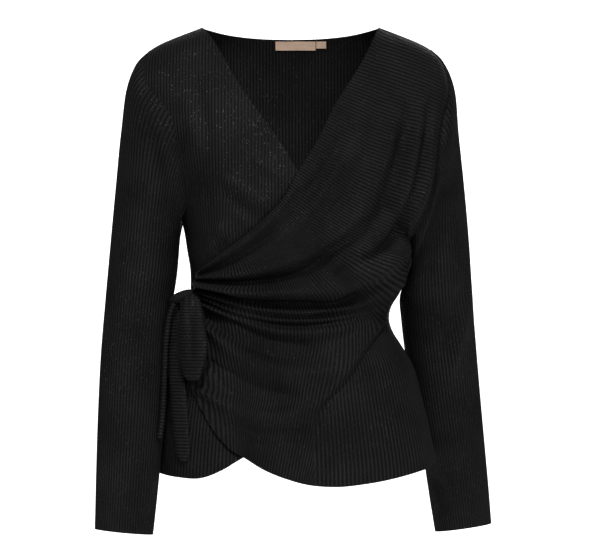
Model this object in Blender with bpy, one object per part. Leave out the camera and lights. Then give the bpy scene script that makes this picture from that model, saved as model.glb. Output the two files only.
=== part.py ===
"""Long-sleeved wrap top in fine rib knit, hollow and filled out as if worn.

Metres, +Z up. The front faces -Y and the wearer's right side is at -X.
The origin is at the middle of the neck opening, level with the high points
of the shoulders, on the plane of the side seams.

Every panel is cut on one figure form. The form is a stack of level sections,
and a place on it is (around, height): "around" is the distance in millimetres
along the section from the centre line, so a panel's edges are drawn almost as
on its flat paper pattern. All tables are in millimetres.
"""
import math

import bpy
import bmesh
import numpy as np
from mathutils import Matrix

MM = 0.001
WALL = 1.5
SEAM_GAP = 0.25
WRAP_SEAM_GAP = 0.6
SLEEVE_GAP = 1.25
ROUNDNESS = 2.25
DRAPE_ROLL = 4.5
WRAP_LIFT = 4.0
WRAP_FLOOR = -1.5
UNDER_DROP = -6.5

KNIT_COLOUR = (0.012, 0.012, 0.013, 1.0)
LABEL_COLOUR = (0.392, 0.275, 0.202, 1.0)

# Level sections of the filled garment: height, half width on each side, depth in front, depth behind.
SECTIONS = (
    (0, 114, 114, 30, 62),
    (-10, 140, 140, 43, 66),
    (-22, 168, 168, 54, 70),
    (-35, 188, 188, 63, 74),
    (-50, 202, 202, 71, 78),
    (-75, 212, 212, 84, 83),
    (-100, 208, 208, 94, 87),
    (-120, 200, 200, 100, 90),
    (-150, 183, 183, 108, 92),
    (-172, 171, 172, 113, 92),
    (-200, 159, 163, 117, 90),
    (-225, 150, 158, 116, 88),
    (-260, 138, 153, 110, 83),
    (-290, 133, 150, 101, 78),
    (-315, 129, 149.5, 95, 74),
    (-332, 128.5, 146.5, 92, 71.5),
    (-346, 129, 140, 90, 70.5),
    (-360, 130, 131, 88, 70),
    (-376, 134, 127, 87, 71),
    (-394, 142, 131.5, 90, 74),
    (-411, 151, 142, 94, 78),
    (-432, 158, 155, 98, 84),
    (-485, 167, 171, 107, 98),
    (-536, 173, 183, 115, 106),
    (-561, 175, 188, 118, 108),
    (-610, 177, 191, 121, 110),
)

# Armhole of the left front and of both back panels: share of the seam from shoulder to underarm, x, height.
ARMHOLE = (
    (0.16, -187, -48), (0.24, -186, -66), (0.32, -181, -81), (0.40, -170, -93), (0.50, -156, -112),
    (0.59, -146, -134), (0.68, -141, -158), (0.78, -136, -182), (0.89, -131, -212), (0.96, -133, -236),
)
# Edge of the draped front over the other armhole: share, x, y, height. It stands clear of the form.
DRAPED_ARMHOLE = (
    (0.12, 192, -20, -52), (0.22, 196, -44, -84), (0.32, 192.5, -58, -112), (0.43, 189.5, -66, -142),
    (0.53, 187, -71, -170), (0.64, 182, -73, -203), (0.74, 174.5, -71, -230), (0.82, 165, -65, -251),
    (0.89, 156, -54, -266), (0.95, 151.5, -32, -278),
)
SHOULDER_TIP = -29
UNDERARM = -250
DRAPED_UNDERARM = -288

# Neckline and hidden upper edge of the under front: share of the top edge, x, height.
UNDER_NECK = (
    (0.24, -114, 0), (0.29, -104, -12), (0.34, -92, -31), (0.41, -70, -70), (0.49, -44, -109),
    (0.58, -14, -150), (0.66, 10, -191),
    (0.78, 52, -245), (0.90, 96, -296), (1.0, 142, -335),
)
UNDER_HEM = (
    (0.0, -175.3, -574), (0.03, -168, -576), (0.10, -140, -580), (0.18, -115, -580), (0.24, -99, -575),
    (0.30, -85, -568), (0.36, -70, -559), (0.42, -59, -552.5), (0.55, -22, -530), (0.72, 36, -489),
    (0.88, 92, -446), (1.0, 140, -409),
)
# Neckline and wrapped edge of the draped front, from the shoulder down to the gather.
WRAP_EDGE = (
    (0.20, 114, 0), (0.25, 107, -17), (0.31, 95, -43), (0.37, 80, -69), (0.44, 57, -105), (0.52, 31, -157),
    (0.58, 10, -191), (0.64, -9, -223), (0.70, -30, -246), (0.76, -52, -266), (0.82, -74, -283),
    (0.88, -95, -299), (0.94, -110, -310), (1.0, -121, -318),
)
# Its hem, from the side seam past the low centre, up the tulip edge to the gather.
WRAP_HEM = (
    (0.0, 188, -562), (0.03, 178, -567), (0.08, 158, -573), (0.15, 125, -581), (0.23, 90, -587),
    (0.30, 57, -590), (0.36, 26, -588), (0.42, -2, -581), (0.48, -32, -569), (0.54, -59, -552.5),
    (0.59, -75, -543), (0.64, -91, -526), (0.70, -107, -501), (0.76, -118, -479), (0.82, -126, -457),
    (0.88, -129.5, -420), (0.94, -128.5, -384), (1.0, -123, -352),
)
GATHER = ((0.0, -121, -318), (0.2, -122, -325), (0.42, -123.5, -334), (0.52, -124, -341), (0.62, -124, -346),
          (1.0, -123, -352))
# How far down each row of the draped front lies: its share at the side seam, in the middle, near the gather.
FLOW = ((0, 0, 0), (0.1, 0.15, 0.07), (0.2, 0.27, 0.14), (0.3, 0.345, 0.19), (0.42, 0.415, 0.255),
        (0.52, 0.49, 0.315), (0.62, 0.56, 0.39), (0.8, 0.75, 0.66), (1, 1, 1))
BACK_NECK = ((0.22, -114, 0), (0.32, -82, -6), (0.42, -40, -10), (0.5, 0, -11), (0.58, 40, -10),
             (0.68, 82, -6), (0.78, 114, 0))
BACK_HEM = ((0.0, -175.3, -574), (0.15, -130, -563), (0.32, -62, -553), (0.5, 0, -551), (0.68, 62, -553),
            (0.85, 132, -557), (1.0, 188, -562))

# Folds of the draped front, from the armhole down to the hem: height, half width, points as seen in front.
# A hollow has a negative height.
FOLDS = {
    "rolled_edge": (2.6, 8, ((1, -214), (-17, -238), (-41, -264), (-63, -282), (-86, -297), (-107, -315))),
    "upper_hollow": (-2.4, 13, ((28, -273), (71, -227), (95, -181), (112, -130), (118, -80))),
    "first": (5.0, 11, ((-116, -326), (-52, -317), (10, -297), (63, -264), (94, -225), (104, -200),
                        (124, -156), (137, -114))),
    "first_branch": (2.5, 10, ((3, -264), (28, -231), (49, -200), (76, -156))),
    "first_hollow": (-5.0, 8, ((-96, -329), (-41, -330), (25, -315), (58, -284), (89, -264), (109, -240),
                               (124, -212), (136, -169), (145, -131))),
    "second": (5.0, 9, ((71, -309), (91, -293), (113, -267), (131, -240), (144, -212), (156, -162),
                        (162, -124))),
    "second_hollow": (-4.0, 7, ((71, -296), (102, -297), (122, -275), (137, -245), (153, -213), (165, -162))),
    "great": (11.0, 13, ((-120, -333), (-63, -342), (3, -340), (69, -333), (98, -319), (124, -300),
                         (144, -273), (162, -245), (175, -212), (179, -169), (183, -124), (185, -92))),
    "great_hook": (3.0, 8, ((28, -330), (47, -321), (58, -306), (63, -295))),
    "great_hollow": (-7.5, 7, ((-112, -339), (-52, -353), (14, -356), (58, -357), (93, -337), (120, -324),
                               (142, -298))),
    "third": (6.0, 8, ((-107, -344), (-74, -354), (-41, -363), (-8, -368), (18, -369), (43, -364),
                       (69, -361), (109, -342), (131, -333))),
    "third_hollow": (-2.5, 7, ((-103, -350), (-55, -371), (10, -382), (74, -374), (119, -353))),
    "fourth": (4.5, 10, ((-105, -354), (-74, -375), (-19, -396), (47, -396), (113, -377))),
    "broad_hollow": (-6.0, 16, ((-96, -377), (-74, -394), (-41, -411), (0, -420), (50, -417))),
    "upper_swag": (5.5, 18, ((-105, -391), (-64, -424), (0, -452), (57, -445), (99, -410))),
    "swag_hollow": (-4.0, 15, ((-100, -445), (-64, -470), (-19, -483), (25, -478))),
    "lower_swag": (3.5, 14, ((-111, -481), (-59, -507), (-7, -506), (35, -485))),
    "hem_hollow": (-2.5, 12, ((-64, -528), (-36, -527), (-7, -522), (24, -514))),
}
# The drape ends along this slanting fold and stands over the plain side: its points from the waist down.
STEP_HEIGHT = 6.0
STEP_REACH = 62.0
STEP_LINE = ((126, -368), (119, -381), (111, -393), (91, -421), (72, -448), (49, -476), (35, -495),
             (31, -518), (30, -539))

# Creases of the under front beside the neckline.
UNDER_CREASES = (
    (2.2, 7, ((-84, -202), (-60, -218), (-30, -238))),
    (1.6, 6, ((-30, -187), (-8, -203))),
    (-1.8, 7, ((-90, -225), (-66, -240), (-40, -256))),
    (2.0, 8, ((-91, -264), (-70, -279))),
)

# Sleeves from armhole to cuff, seen in front: outer x, outer height, inner x, inner height, y in front, y behind.
SLEEVE_LEFT = (
    (-206, -58, -146, -262, -70, 62),
    (-214, -92, -145.5, -272, -64, 58),
    (-219.5, -140, -145.5, -284, -57, 53),
    (-226, -205, -146.5, -300, -50, 49),
    (-233, -282, -149, -326, -50, 42),
    (-239, -354, -154, -362, -56, 30),
    (-244, -424, -158.5, -426, -66, 10),
    (-246.5, -490, -162, -492, -76, -10),
    (-248, -550, -167, -554, -82, -24),
    (-249, -602, -172, -608, -84, -32),
    (-250, -647, -177, -654, -84, -34),
)
SLEEVE_RIGHT = (
    (206, -58, 153.6, -296, -66, 62),
    (213, -92, 153.2, -304, -58, 60),
    (217.5, -140, 152.8, -314, -50, 58),
    (225, -205, 150.4, -328, -44, 58),
    (232, -282, 143.4, -350, -36, 62),
    (237, -354, 145.2, -376, -22, 72),
    (243, -424, 152, -428, 6, 88),
    (249, -490, 163, -492, 26, 100),
    (254, -550, 174, -554, 38, 108),
    (258, -602, 181.5, -608, 46, 110),
    (261, -645, 189, -655, 50, 110),
)
# How far the first rings follow the armhole's own shape: share, step outward, step down.
SLEEVE_HEAD = ((0.70, 14, 14), (0.38, 24, 28), (0.12, 30, 50))
SLEEVE_CREASES = {
    "left": ((3.5, 9, ((-174, -568), (-183, -603), (-188, -630))),
             (-3.0, 12, ((-178, -150), (-172, -200), (-170, -250))),
             (2.5, 9, ((-150, -160), (-150, -200), (-158, -240)))),
    "right": ((3.5, 12, ((232, -348), (220, -416), (208, -460))),
              (-3.0, 8, ((177, -576), (198, -603), (210, -640))),
              (3.0, 10, ((204, -100), (204, -150), (196, -215))),
              (-3.0, 12, ((196, -250), (186, -290), (180, -330)))),
}

# Self-fabric tie on the waist seam: x, y, height of the middle of each strip and its width.
KNOT_AT = (-139, -49.4, -346)
KNOT_SIZE = (34, 17, 15)
LOOP_FRONT = ((-128, -68, -359, 27), (-125, -82, -382, 34), (-124, -93, -410, 37), (-125.5, -99, -440, 37),
              (-127, -102, -468, 29))
LOOP_BACK = ((-127, -88, -468, 29), (-125.5, -83, -440, 36), (-124, -77.5, -410, 36), (-126, -68, -382, 33),
             (-130, -60, -359, 25))
WIDE_TAIL = ((-144, -43.5, -355.2, 9), (-146, -50, -385, 19), (-146.5, -56, -415, 22), (-145.5, -63, -445, 24),
             (-141, -75, -495, 24.5), (-139, -82, -530, 20), (-136.5, -87.5, -560, 13))
STRIP_TILT = 0.5
NARROW_TAIL = ((-149, -51, -355.8), (-154.5, -54, -371), (-157.5, -55, -388), (-160.5, -57, -420),
               (-162, -62, -465), (-164, -69, -505), (-167, -74, -531))
NARROW_TAIL_RADIUS = 3.6
STRIP_WALL = 1.6

LABEL = (-20, 33, -12.5, -24)
SIZE_TAB = (34, 47, -12.5, -21.5)
LABEL_WALL = 1.0
LABEL_GAP = 0.9


def spline(knots, values, where):
    """Smooth curve through the rows of a table, read at the given places."""
    knots = np.asarray(knots, float)
    values = np.asarray(values, float)
    if knots[0] > knots[-1]:
        knots, values = knots[::-1], values[::-1]
    width = np.diff(knots)
    slope = np.diff(values) / width
    tangent = np.empty_like(values)
    tangent[1:-1] = (width[:-1] * slope[1:] + width[1:] * slope[:-1]) / (width[:-1] + width[1:])
    tangent[0] = slope[0]
    tangent[-1] = slope[-1]
    where = np.clip(np.asarray(where, float), knots[0], knots[-1])
    span = np.clip(np.searchsorted(knots, where) - 1, 0, len(width) - 1)
    t = (where - knots[span]) / width[span]
    h = width[span]
    return (values[span] * (1 + 2 * t) * (1 - t) ** 2 + values[span + 1] * t * t * (3 - 2 * t)
            + h * tangent[span] * t * (1 - t) ** 2 - h * tangent[span + 1] * t * t * (1 - t))


def ease(value):
    """0 to 1 with a soft start and end."""
    t = np.clip(value, 0, 1)
    return t * t * (3 - 2 * t)


def column(table, index):
    return [row[index] for row in table]


def section(height):
    """Half widths and depths of the form at a height."""
    heights = column(SECTIONS, 0)
    return [spline(heights, column(SECTIONS, index), height) for index in (1, 2, 3, 4)]


def around_from_x(x, height):
    """Distance round the section from the centre line, for a place seen at x from the front."""
    left, right, _, _ = section(height)
    half = np.where(x < 0, left, right)
    share = np.clip(np.abs(x) / half, 0, 1)
    return np.sign(x) * half * np.arcsin(share ** (ROUNDNESS / 2))


def form_point(around, height, behind=False):
    """Point of the figure form."""
    left, right, front, back = section(height)
    half = np.where(around < 0, left, right)
    angle = np.clip(np.abs(around) / half, 0, math.pi / 2)
    x = np.sign(around) * half * np.sin(angle) ** (2 / ROUNDNESS)
    depth = back if behind else -front
    y = depth * np.clip(np.cos(angle), 0, 1) ** (2 / ROUNDNESS)
    return np.stack([x, y, np.asarray(height, float) + 0 * x], -1)


def form_normal(points, behind=False):
    """Outward direction of the form at its own points."""
    x, y, z = points[..., 0], points[..., 1], points[..., 2]
    level = []
    for step in (-1.5, 1.5):
        left, right, front, back = section(np.clip(z + step, -612, 0))
        half = np.where(x < 0, left, right)
        depth = back if behind else front
        level.append(((np.abs(x) / half) ** ROUNDNESS + (np.abs(y) / depth) ** ROUNDNESS) ** (1 / ROUNDNESS))
    left, right, front, back = section(z)
    half = np.where(x < 0, left, right)
    depth = back if behind else front
    across = np.sign(x) * (np.abs(x) / half) ** (ROUNDNESS - 1) / half
    along = np.sign(y) * (np.abs(y) / depth) ** (ROUNDNESS - 1) / depth
    up = (level[1] - level[0]) / 3.0
    normal = np.stack([across, along, up], -1)
    return normal / np.linalg.norm(normal, axis=-1, keepdims=True)


def seam(side, rows):
    """Edge that follows the side seam or shoulder seam: rows of share, height."""
    def place(share):
        height = spline(column(rows, 0), column(rows, 1), share)
        left, right, _, _ = section(height)
        half = left if side < 0 else right
        return np.stack([side * half * math.pi / 2, height], -1)
    return place


def drawn(rows):
    """Edge through rows of share, x, height as seen from the front."""
    def place(share):
        x = spline(column(rows, 0), column(rows, 1), share)
        height = spline(column(rows, 0), column(rows, 2), share)
        return np.stack([around_from_x(x, height), height], -1)
    return place


def joined(pieces):
    """One edge from several: rows of the share where each ends, and its function."""
    def place(share):
        share = np.asarray(share, float)
        start = 0.0
        result = np.zeros(share.shape + (2,))
        for end, piece in pieces:
            inside = (share >= start - 1e-9) & (share <= end + 1e-9)
            result[inside] = piece(share[inside])
            start = end
        return result
    return place


def patch(top, bottom, first, last, s, t, reach_first, reach_last=None, flow=None):
    """Blend four edges into a surface in (around, height). A side edge's own shape fades out over its reach."""
    zero = np.zeros(1)
    one = np.ones(1)
    w = (t if flow is None else flow)[:, None]
    near_first = fading(s / reach_first)[:, None]
    near_last = s[:, None] if reach_last is None else fading((1 - s) / reach_last)[:, None]
    middle = (1 - w) * top(s) + w * bottom(s)
    first_lean = first(t) - (1 - w) * top(zero) - w * bottom(zero)
    last_lean = last(t) - (1 - w) * top(one) - w * bottom(one)
    return middle + near_first * first_lean + near_last * last_lean


def fading(value):
    """1 at 0, falling to 0 at 1."""
    value = np.clip(value, 0, 1)
    return 1 - 1.5 * value + 0.5 * value ** 3


def spread(breaks, counts):
    """Shares with a chosen number of cells between each pair of breaks."""
    rows = [np.linspace(a, b, n + 1)[:-1] for a, b, n in zip(breaks, breaks[1:], counts)]
    return np.concatenate(rows + [np.array([breaks[-1]])])


def line_distance(x, z, points):
    """Distance to a smooth line and the share along it of the nearest place, with the side it lies on."""
    points = np.asarray(points, float)
    length = np.concatenate([[0], np.cumsum(np.linalg.norm(np.diff(points, axis=0), axis=1))])
    where = np.linspace(0, length[-1], 90)
    line = np.stack([spline(length, points[:, 0], where), spline(length, points[:, 1], where)], -1)
    start, step = line[:-1], np.diff(line, axis=0)
    offset = np.stack([x, z], -1)[:, None, :] - start[None]
    share = np.clip((offset * step).sum(-1) / (step * step).sum(-1), 0, 1)
    gap = offset - share[..., None] * step
    distance = np.linalg.norm(gap, axis=-1)
    nearest = distance.argmin(1)
    row = np.arange(len(x))
    side = np.sign(step[nearest, 0] * gap[row, nearest, 1] - step[nearest, 1] * gap[row, nearest, 0])
    return distance[row, nearest], (nearest + share[row, nearest]) / len(step), side


def fold_height(x, z, folds):
    """Sum of the soft ridges and hollows at each place."""
    total = np.zeros_like(x)
    for height, half_width, points in folds:
        distance, share, _ = line_distance(x, z, points)
        fade = ease(np.minimum(share, 1 - share) / 0.12 + 0.25)
        total += height * fade * np.exp(-(distance / half_width) ** 2)
    return total


def grid_shape(columns, rows):
    """Flat grid of cells as a bmesh, with the share numbers of its vertices."""
    shape = bmesh.new()
    bmesh.ops.create_grid(shape, x_segments=columns, y_segments=rows, size=0.5)
    shape.verts.ensure_lookup_table()
    flat = np.array([vertex.co[:2] for vertex in shape.verts]) + 0.5
    across = np.rint(flat[:, 0] * columns).astype(int)
    down = np.rint(flat[:, 1] * rows).astype(int)
    return shape, across, down


def material(name, colour, roughness):
    made = bpy.data.materials.get(name)
    if made is None:
        made = bpy.data.materials.new(name)
        made.use_nodes = True
        surface = made.node_tree.nodes["Principled BSDF"]
        surface.inputs["Base Color"].default_value = colour
        surface.inputs["Roughness"].default_value = roughness
        surface.inputs["Metallic"].default_value = 0.0
    return made


def add_wall(name, shape, middle, outward, wall, look, closed=False):
    """Give the open grid its place and its thickness, and make it an object."""
    direction = shape.verts.layers.float_vector.new("outward")
    for vertex, point, normal in zip(shape.verts, middle, outward):
        vertex.co = (point + normal * wall / 2) * MM
        vertex[direction] = -normal * wall * MM
    if closed:
        bmesh.ops.remove_doubles(shape, verts=shape.verts, dist=1e-6)
    extruded = bmesh.ops.extrude_face_region(shape, geom=shape.faces[:], use_keep_orig=True)
    for item in extruded["geom"]:
        if isinstance(item, bmesh.types.BMVert):
            item.co += item[direction]
    bmesh.ops.recalc_face_normals(shape, faces=shape.faces)
    add_object(name, shape, look)


def add_object(name, shape, look):
    mesh = bpy.data.meshes.new(name)
    shape.to_mesh(mesh)
    shape.free()
    mesh.shade_smooth()
    mesh.set_sharp_from_angle(angle=math.radians(50))
    item = bpy.data.objects.new(name, mesh)
    mesh.materials.append(look)
    garment.objects.link(item)
    return item


def armhole_edge(side):
    rows = [(0.0, -181.5, SHOULDER_TIP)] + list(ARMHOLE)
    rows.append((1.0, -section(UNDERARM)[0], UNDERARM))
    return drawn([(share, -side * x, height) for share, x, height in rows])


def scaled(edge, start, end):
    """Edge whose own shares 0 to 1 run between two shares of a longer one."""
    return lambda share: edge((share - start) / (end - start))


# Side edges: shoulder tip, armhole, side seam. The armhole ends at this share.
ARMHOLE_SHARE = 0.40
SIDE_ROWS = spread((0, ARMHOLE_SHARE, 0.62, 1), (11, 5, 5))
left_side = joined((
    (ARMHOLE_SHARE, scaled(armhole_edge(-1), 0, ARMHOLE_SHARE)),
    (1.0, seam(-1, ((ARMHOLE_SHARE, UNDERARM), (0.62, -388), (1.0, -574)))),
))
# The back's other armhole ends lower, under the drape.
BACK_RIGHT_ARMHOLE = tuple((s, -x, z) for s, x, z in ARMHOLE[:8]) + (
    (0.86, 139, -214), (0.93, 144.5, -247), (0.97, 148, -269))
right_side_back = joined((
    (ARMHOLE_SHARE, scaled(drawn(((0.0, 181.5, SHOULDER_TIP),) + BACK_RIGHT_ARMHOLE
                                 + ((1.0, float(section(DRAPED_UNDERARM)[1]), DRAPED_UNDERARM),)),
                           0, ARMHOLE_SHARE)),
    (1.0, seam(1, ((ARMHOLE_SHARE, DRAPED_UNDERARM), (0.62, -392), (1.0, -562)))),
))


def build_back():
    columns = spread((0, 0.22, 0.5, 0.78, 1), (4, 5, 5, 4))
    shape, across, down = grid_shape(len(columns) - 1, len(SIDE_ROWS) - 1)
    s, t = columns[across], SIDE_ROWS[down]
    top = joined((
        (0.22, seam(-1, ((0, SHOULDER_TIP), (0.22, 0)))),
        (0.78, drawn(BACK_NECK)),
        (1.0, seam(1, ((0.78, 0), (1.0, SHOULDER_TIP)))),
    ))
    place = patch(top, drawn(BACK_HEM), left_side, right_side_back, s, t, 0.46, 0.46)
    middle = form_point(place[:, 0], place[:, 1], behind=True)
    outward = form_normal(middle, behind=True)
    middle[:, 1] += SEAM_GAP
    add_wall("back", shape, middle, outward, WALL, knit)


def under_wrap(x, z):
    """How far a place lies inside the draped front's edges, where the under front drops away from it."""
    wrap = WRAP_EDGE[6:]
    upper = np.where(x > 10, 200.0, spline(column(wrap, 1), column(wrap, 2), x) - z)
    tulip = WRAP_HEM[9:]
    beside = x - spline(column(tulip, 2), column(tulip, 1), z)
    return np.minimum(upper, beside)


def build_under_front():
    columns = spread((0, 0.24, 0.66, 1), (4, 9, 5))
    shape, across, down = grid_shape(len(columns) - 1, len(SIDE_ROWS) - 1)
    s, t = columns[across], SIDE_ROWS[down]
    top = joined(((0.24, seam(-1, ((0, SHOULDER_TIP), (0.24, 0)))), (1.0, drawn(UNDER_NECK))))
    far_side = seam(1, ((0.0, -335), (1.0, -409)))
    place = patch(top, drawn(UNDER_HEM), left_side, far_side, s, t, 0.36 + 0.24 * ease(t / 0.2))
    middle = form_point(place[:, 0], place[:, 1])
    outward = form_normal(middle)
    x, z = middle[:, 0], middle[:, 2]
    crease = fold_height(x, z, UNDER_CREASES) * ease(s / 0.15)
    drop = UNDER_DROP * ease(under_wrap(x, z) / 34)
    middle += outward * (crease + drop)[:, None]
    middle[:, 1] -= SEAM_GAP
    add_wall("front_under", shape, middle, outward, WALL, knit)


def wrap_ramp(s, t):
    """0 on the seams of the draped front and 1 away from them."""
    from_side = ease(s / 0.07)
    from_shoulder = np.maximum(ease(t / 0.10), ease((s - 0.20) / 0.08))
    return from_side * from_shoulder


def wrap_relief(x, z, s, t):
    """Height of the draped front over the form: its lift, its folds and the step at its slanting fold."""
    relief = fold_height(x, z, FOLDS.values())
    distance, share, side = line_distance(x, z, STEP_LINE)
    beyond = 1 / (1 + np.exp(np.clip(side * distance / 2.2, -30, 30)))
    strength = ease(share / 0.15) * (1 - 0.75 * ease((share - 0.55) / 0.45))
    relief += STEP_HEIGHT * strength * beyond * np.exp(-distance / STEP_REACH)
    calm = 1 - 0.8 * ease((s - 0.90) / 0.10)
    relief = WRAP_LIFT + relief * calm
    soft = 1.5
    relief = WRAP_FLOOR + soft * np.logaddexp(0, (relief - WRAP_FLOOR) / soft)
    free_edge = np.maximum(ease(1 - t / 0.06), ease((t - 0.94) / 0.06)) * ease((s - 0.5) / 0.05)
    relief = np.maximum(relief, 3.2 * free_edge)
    return relief


def draped_edge(share):
    """Draped armhole edge in space, and the same edge where it would lie on the form."""
    rows = [(0.0, 181.5, 0, SHOULDER_TIP)] + list(DRAPED_ARMHOLE)
    rows.append((1.0, float(section(DRAPED_UNDERARM)[1]), 0, DRAPED_UNDERARM))
    share = np.asarray(share, float)
    return np.stack([spline(column(rows, 0), column(rows, index), share) for index in (1, 2, 3)], -1)


def drape_roll(share):
    """How far the draped edge turns back to the sleeve it overhangs."""
    return DRAPE_ROLL * ease(share / 0.25) * ease((1 - share) / 0.15)


WRAP_ARMHOLE_SHARE = 0.42
WRAP_ROWS = spread((0, 0.10, WRAP_ARMHOLE_SHARE, 0.52, 0.62, 1), (2, 22, 8, 6, 8))


def wrap_side(share):
    """Armhole and side seam of the draped front, on the form."""
    armhole = drawn([(s, x, z) for s, x, z in (
        (0.0, 181.5, SHOULDER_TIP), (0.12, 184, -52), (0.22, 178, -84), (0.32, 166, -112), (0.43, 155, -142),
        (0.53, 148, -170), (0.64, 144, -203), (0.74, 143, -230), (0.82, 146, -251), (0.89, 149, -266),
        (0.95, 150.5, -278), (1.0, float(section(DRAPED_UNDERARM)[1]), DRAPED_UNDERARM))])
    edge = joined((
        (WRAP_ARMHOLE_SHARE, scaled(armhole, 0, WRAP_ARMHOLE_SHARE)),
        (1.0, seam(1, ((WRAP_ARMHOLE_SHARE, DRAPED_UNDERARM), (0.62, -372), (1.0, -562)))),
    ))
    return edge(share)


def wrap_flow(s, t):
    """Rows of the draped front run with its folds, closer together toward the gather."""
    middle = spline(column(FLOW, 0), column(FLOW, 1), t)
    gathered = spline(column(FLOW, 0), column(FLOW, 2), t)
    to_middle = ease((s - 0.25) / 0.33)
    to_gather = ease((s - 0.55) / 0.27)
    return (t * (1 - to_middle) + middle * to_middle) * (1 - to_gather) + gathered * to_gather


def build_wrap_front():
    columns = spread((0, 0.08, 0.20, 0.58, 1), (4, 4, 14, 18))
    shape, across, down = grid_shape(len(columns) - 1, len(WRAP_ROWS) - 1)
    s, t = columns[across], WRAP_ROWS[down]
    top = joined(((0.20, seam(1, ((0, SHOULDER_TIP), (0.20, 0)))), (1.0, drawn(WRAP_EDGE))))
    place = patch(top, drawn(WRAP_HEM), wrap_side, drawn(GATHER), s, t, 0.30 + 0.22 * ease(t / 0.2),
                  flow=wrap_flow(s, t))
    middle = form_point(place[:, 0], place[:, 1])
    outward = form_normal(middle)
    in_armhole = t < WRAP_ARMHOLE_SHARE
    on_form = form_point(*wrap_side(t).T)
    pull = np.where(in_armhole[:, None], draped_edge(t / WRAP_ARMHOLE_SHARE) - on_form, 0)
    reach = 0.30 - 0.20 * ease((t / WRAP_ARMHOLE_SHARE - 0.55) / 0.45)
    middle += pull * (1 - ease(s / reach))[:, None]
    roll = np.where(in_armhole, drape_roll(t / WRAP_ARMHOLE_SHARE), 0)
    middle[:, 1] += roll * (1 - ease(s / 0.02))
    x, z = middle[:, 0], middle[:, 2]
    middle += outward * (wrap_relief(x, z, s, t) * wrap_ramp(s, t))[:, None]
    middle[:, 1] -= WRAP_SEAM_GAP
    add_wall("front_wrap", shape, middle, outward, WALL, knit)


def sleeve_loop(name):
    """First ring of a sleeve: the armhole seam, from underarm up the front to the tip and down the back."""
    shares = SIDE_ROWS[SIDE_ROWS <= ARMHOLE_SHARE + 1e-9]
    if name == "left":
        front = form_point(*left_side(shares).T) - (0, SEAM_GAP, 0)
        back = form_point(*left_side(shares).T, behind=True) + (0, SEAM_GAP, 0)
        outside = -1
    else:
        wrap_shares = WRAP_ROWS[WRAP_ROWS <= WRAP_ARMHOLE_SHARE + 1e-9]
        own_shares = wrap_shares / WRAP_ARMHOLE_SHARE
        front = draped_edge(own_shares) - (0, WRAP_SEAM_GAP, 0)
        front[:, 1] += drape_roll(own_shares)
        back = form_point(*right_side_back(shares).T, behind=True) + (0, SEAM_GAP, 0)
        outside = 1
    loop = np.concatenate([front[::-1], back[1:]])
    angle = np.concatenate([np.linspace(0, math.pi, len(front)), np.linspace(math.pi, 2 * math.pi, len(back))[1:]])
    low = (1 + np.cos(angle)) / 2
    loop[:, 0] += outside * (SLEEVE_GAP + 2.0 * low ** 2)
    loop[-1] = loop[0]
    return loop, angle


def sleeve_ring(row, angle):
    outer_x, outer_z, inner_x, inner_z, front, back = row
    cosine, sine = np.cos(angle), np.sin(angle)
    x = (outer_x + inner_x) / 2 + (inner_x - outer_x) / 2 * cosine
    z = (outer_z + inner_z) / 2 + (inner_z - outer_z) / 2 * cosine
    y = (front + back) / 2 + (front - back) / 2 * sine
    return np.stack([x, y, z], -1)


def build_sleeve(name, table, node):
    loop, angle = sleeve_loop(name)
    rings = [loop] + [sleeve_ring(row, angle) for row in table]
    outside = -1 if name == "left" else 1
    for number, (follow, out, down_by) in enumerate(SLEEVE_HEAD, start=1):
        low = (1 + np.cos(angle)) / 2
        step = np.stack([outside * out * (1 - 0.7 * low), 0 * low, -down_by * (1 + 0.3 * low)], -1)
        moved = loop + step
        rings[number] = follow * moved + (1 - follow) * rings[number]
    rings = np.stack(rings)
    stations = np.array([0.0, 0.7, 1.3, 2.0, 3.0, 4.1, 5.2, 6.3, 7.3, 8.3, 9.2, 10.0])
    levels = spread((0, 1.3, 3, 10), (3, 3, 9))
    shape, across, down = grid_shape(len(angle) - 1, len(levels) - 1)
    smooth = np.stack([[spline(stations, rings[:, column_index, axis], levels) for axis in range(3)]
                       for column_index in range(len(angle))])
    points = np.transpose(smooth, (2, 0, 1))
    centre = points[:, :-1].mean(1, keepdims=True)
    ahead = np.gradient(points, axis=0)
    round_it = np.roll(points[:, :-1], -1, 1) - np.roll(points[:, :-1], 1, 1)
    round_it = np.concatenate([round_it, round_it[:, :1]], 1)
    normal = np.cross(round_it, ahead)
    normal /= np.linalg.norm(normal, axis=-1, keepdims=True)
    normal *= np.sign((normal * (points - centre)).sum(-1).mean())
    crease = fold_height(points[..., 0].ravel(), points[..., 2].ravel(), SLEEVE_CREASES[name])
    facing = np.clip(np.sin(angle), 0, 1)[None, :] * ease(levels / 1.2)[:, None]
    points += normal * (crease.reshape(points.shape[:2]) * facing)[..., None]
    middle = points[down, across]
    outward = normal[down, across]
    add_wall(node, shape, middle, outward, WALL, knit, closed=True)


def strip_rows(table, count):
    """Smooth middle line and width of a strip, read from its table."""
    share = np.linspace(0, 1, len(table))
    where = np.linspace(0, 1, count)
    return np.stack([spline(share, column(table, index), where) for index in range(len(table[0]))], -1)


def strip(name, table, count, bow, ends=None):
    """Flat strip that hangs along its table: bow is how far its middle stands forward of its edges."""
    rows = strip_rows(table, count) if ends is None else ends
    shape, across, down = grid_shape(4, len(rows) - 1)
    side = across / 4 * 2 - 1
    line = rows[down]
    ahead = np.gradient(rows[:, :3], axis=0)[down]
    normal = np.cross(ahead, np.tile([1.0, -STRIP_TILT, 0], (len(ahead), 1)))
    normal /= np.linalg.norm(normal, axis=1, keepdims=True)
    middle = line[:, :3].copy()
    middle[:, 0] += side * line[:, 3] / 2
    middle[:, 1] += side ** 2 * bow - side * STRIP_TILT * line[:, 3] / 2
    add_wall(name, shape, middle, normal, STRIP_WALL, knit)


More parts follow.
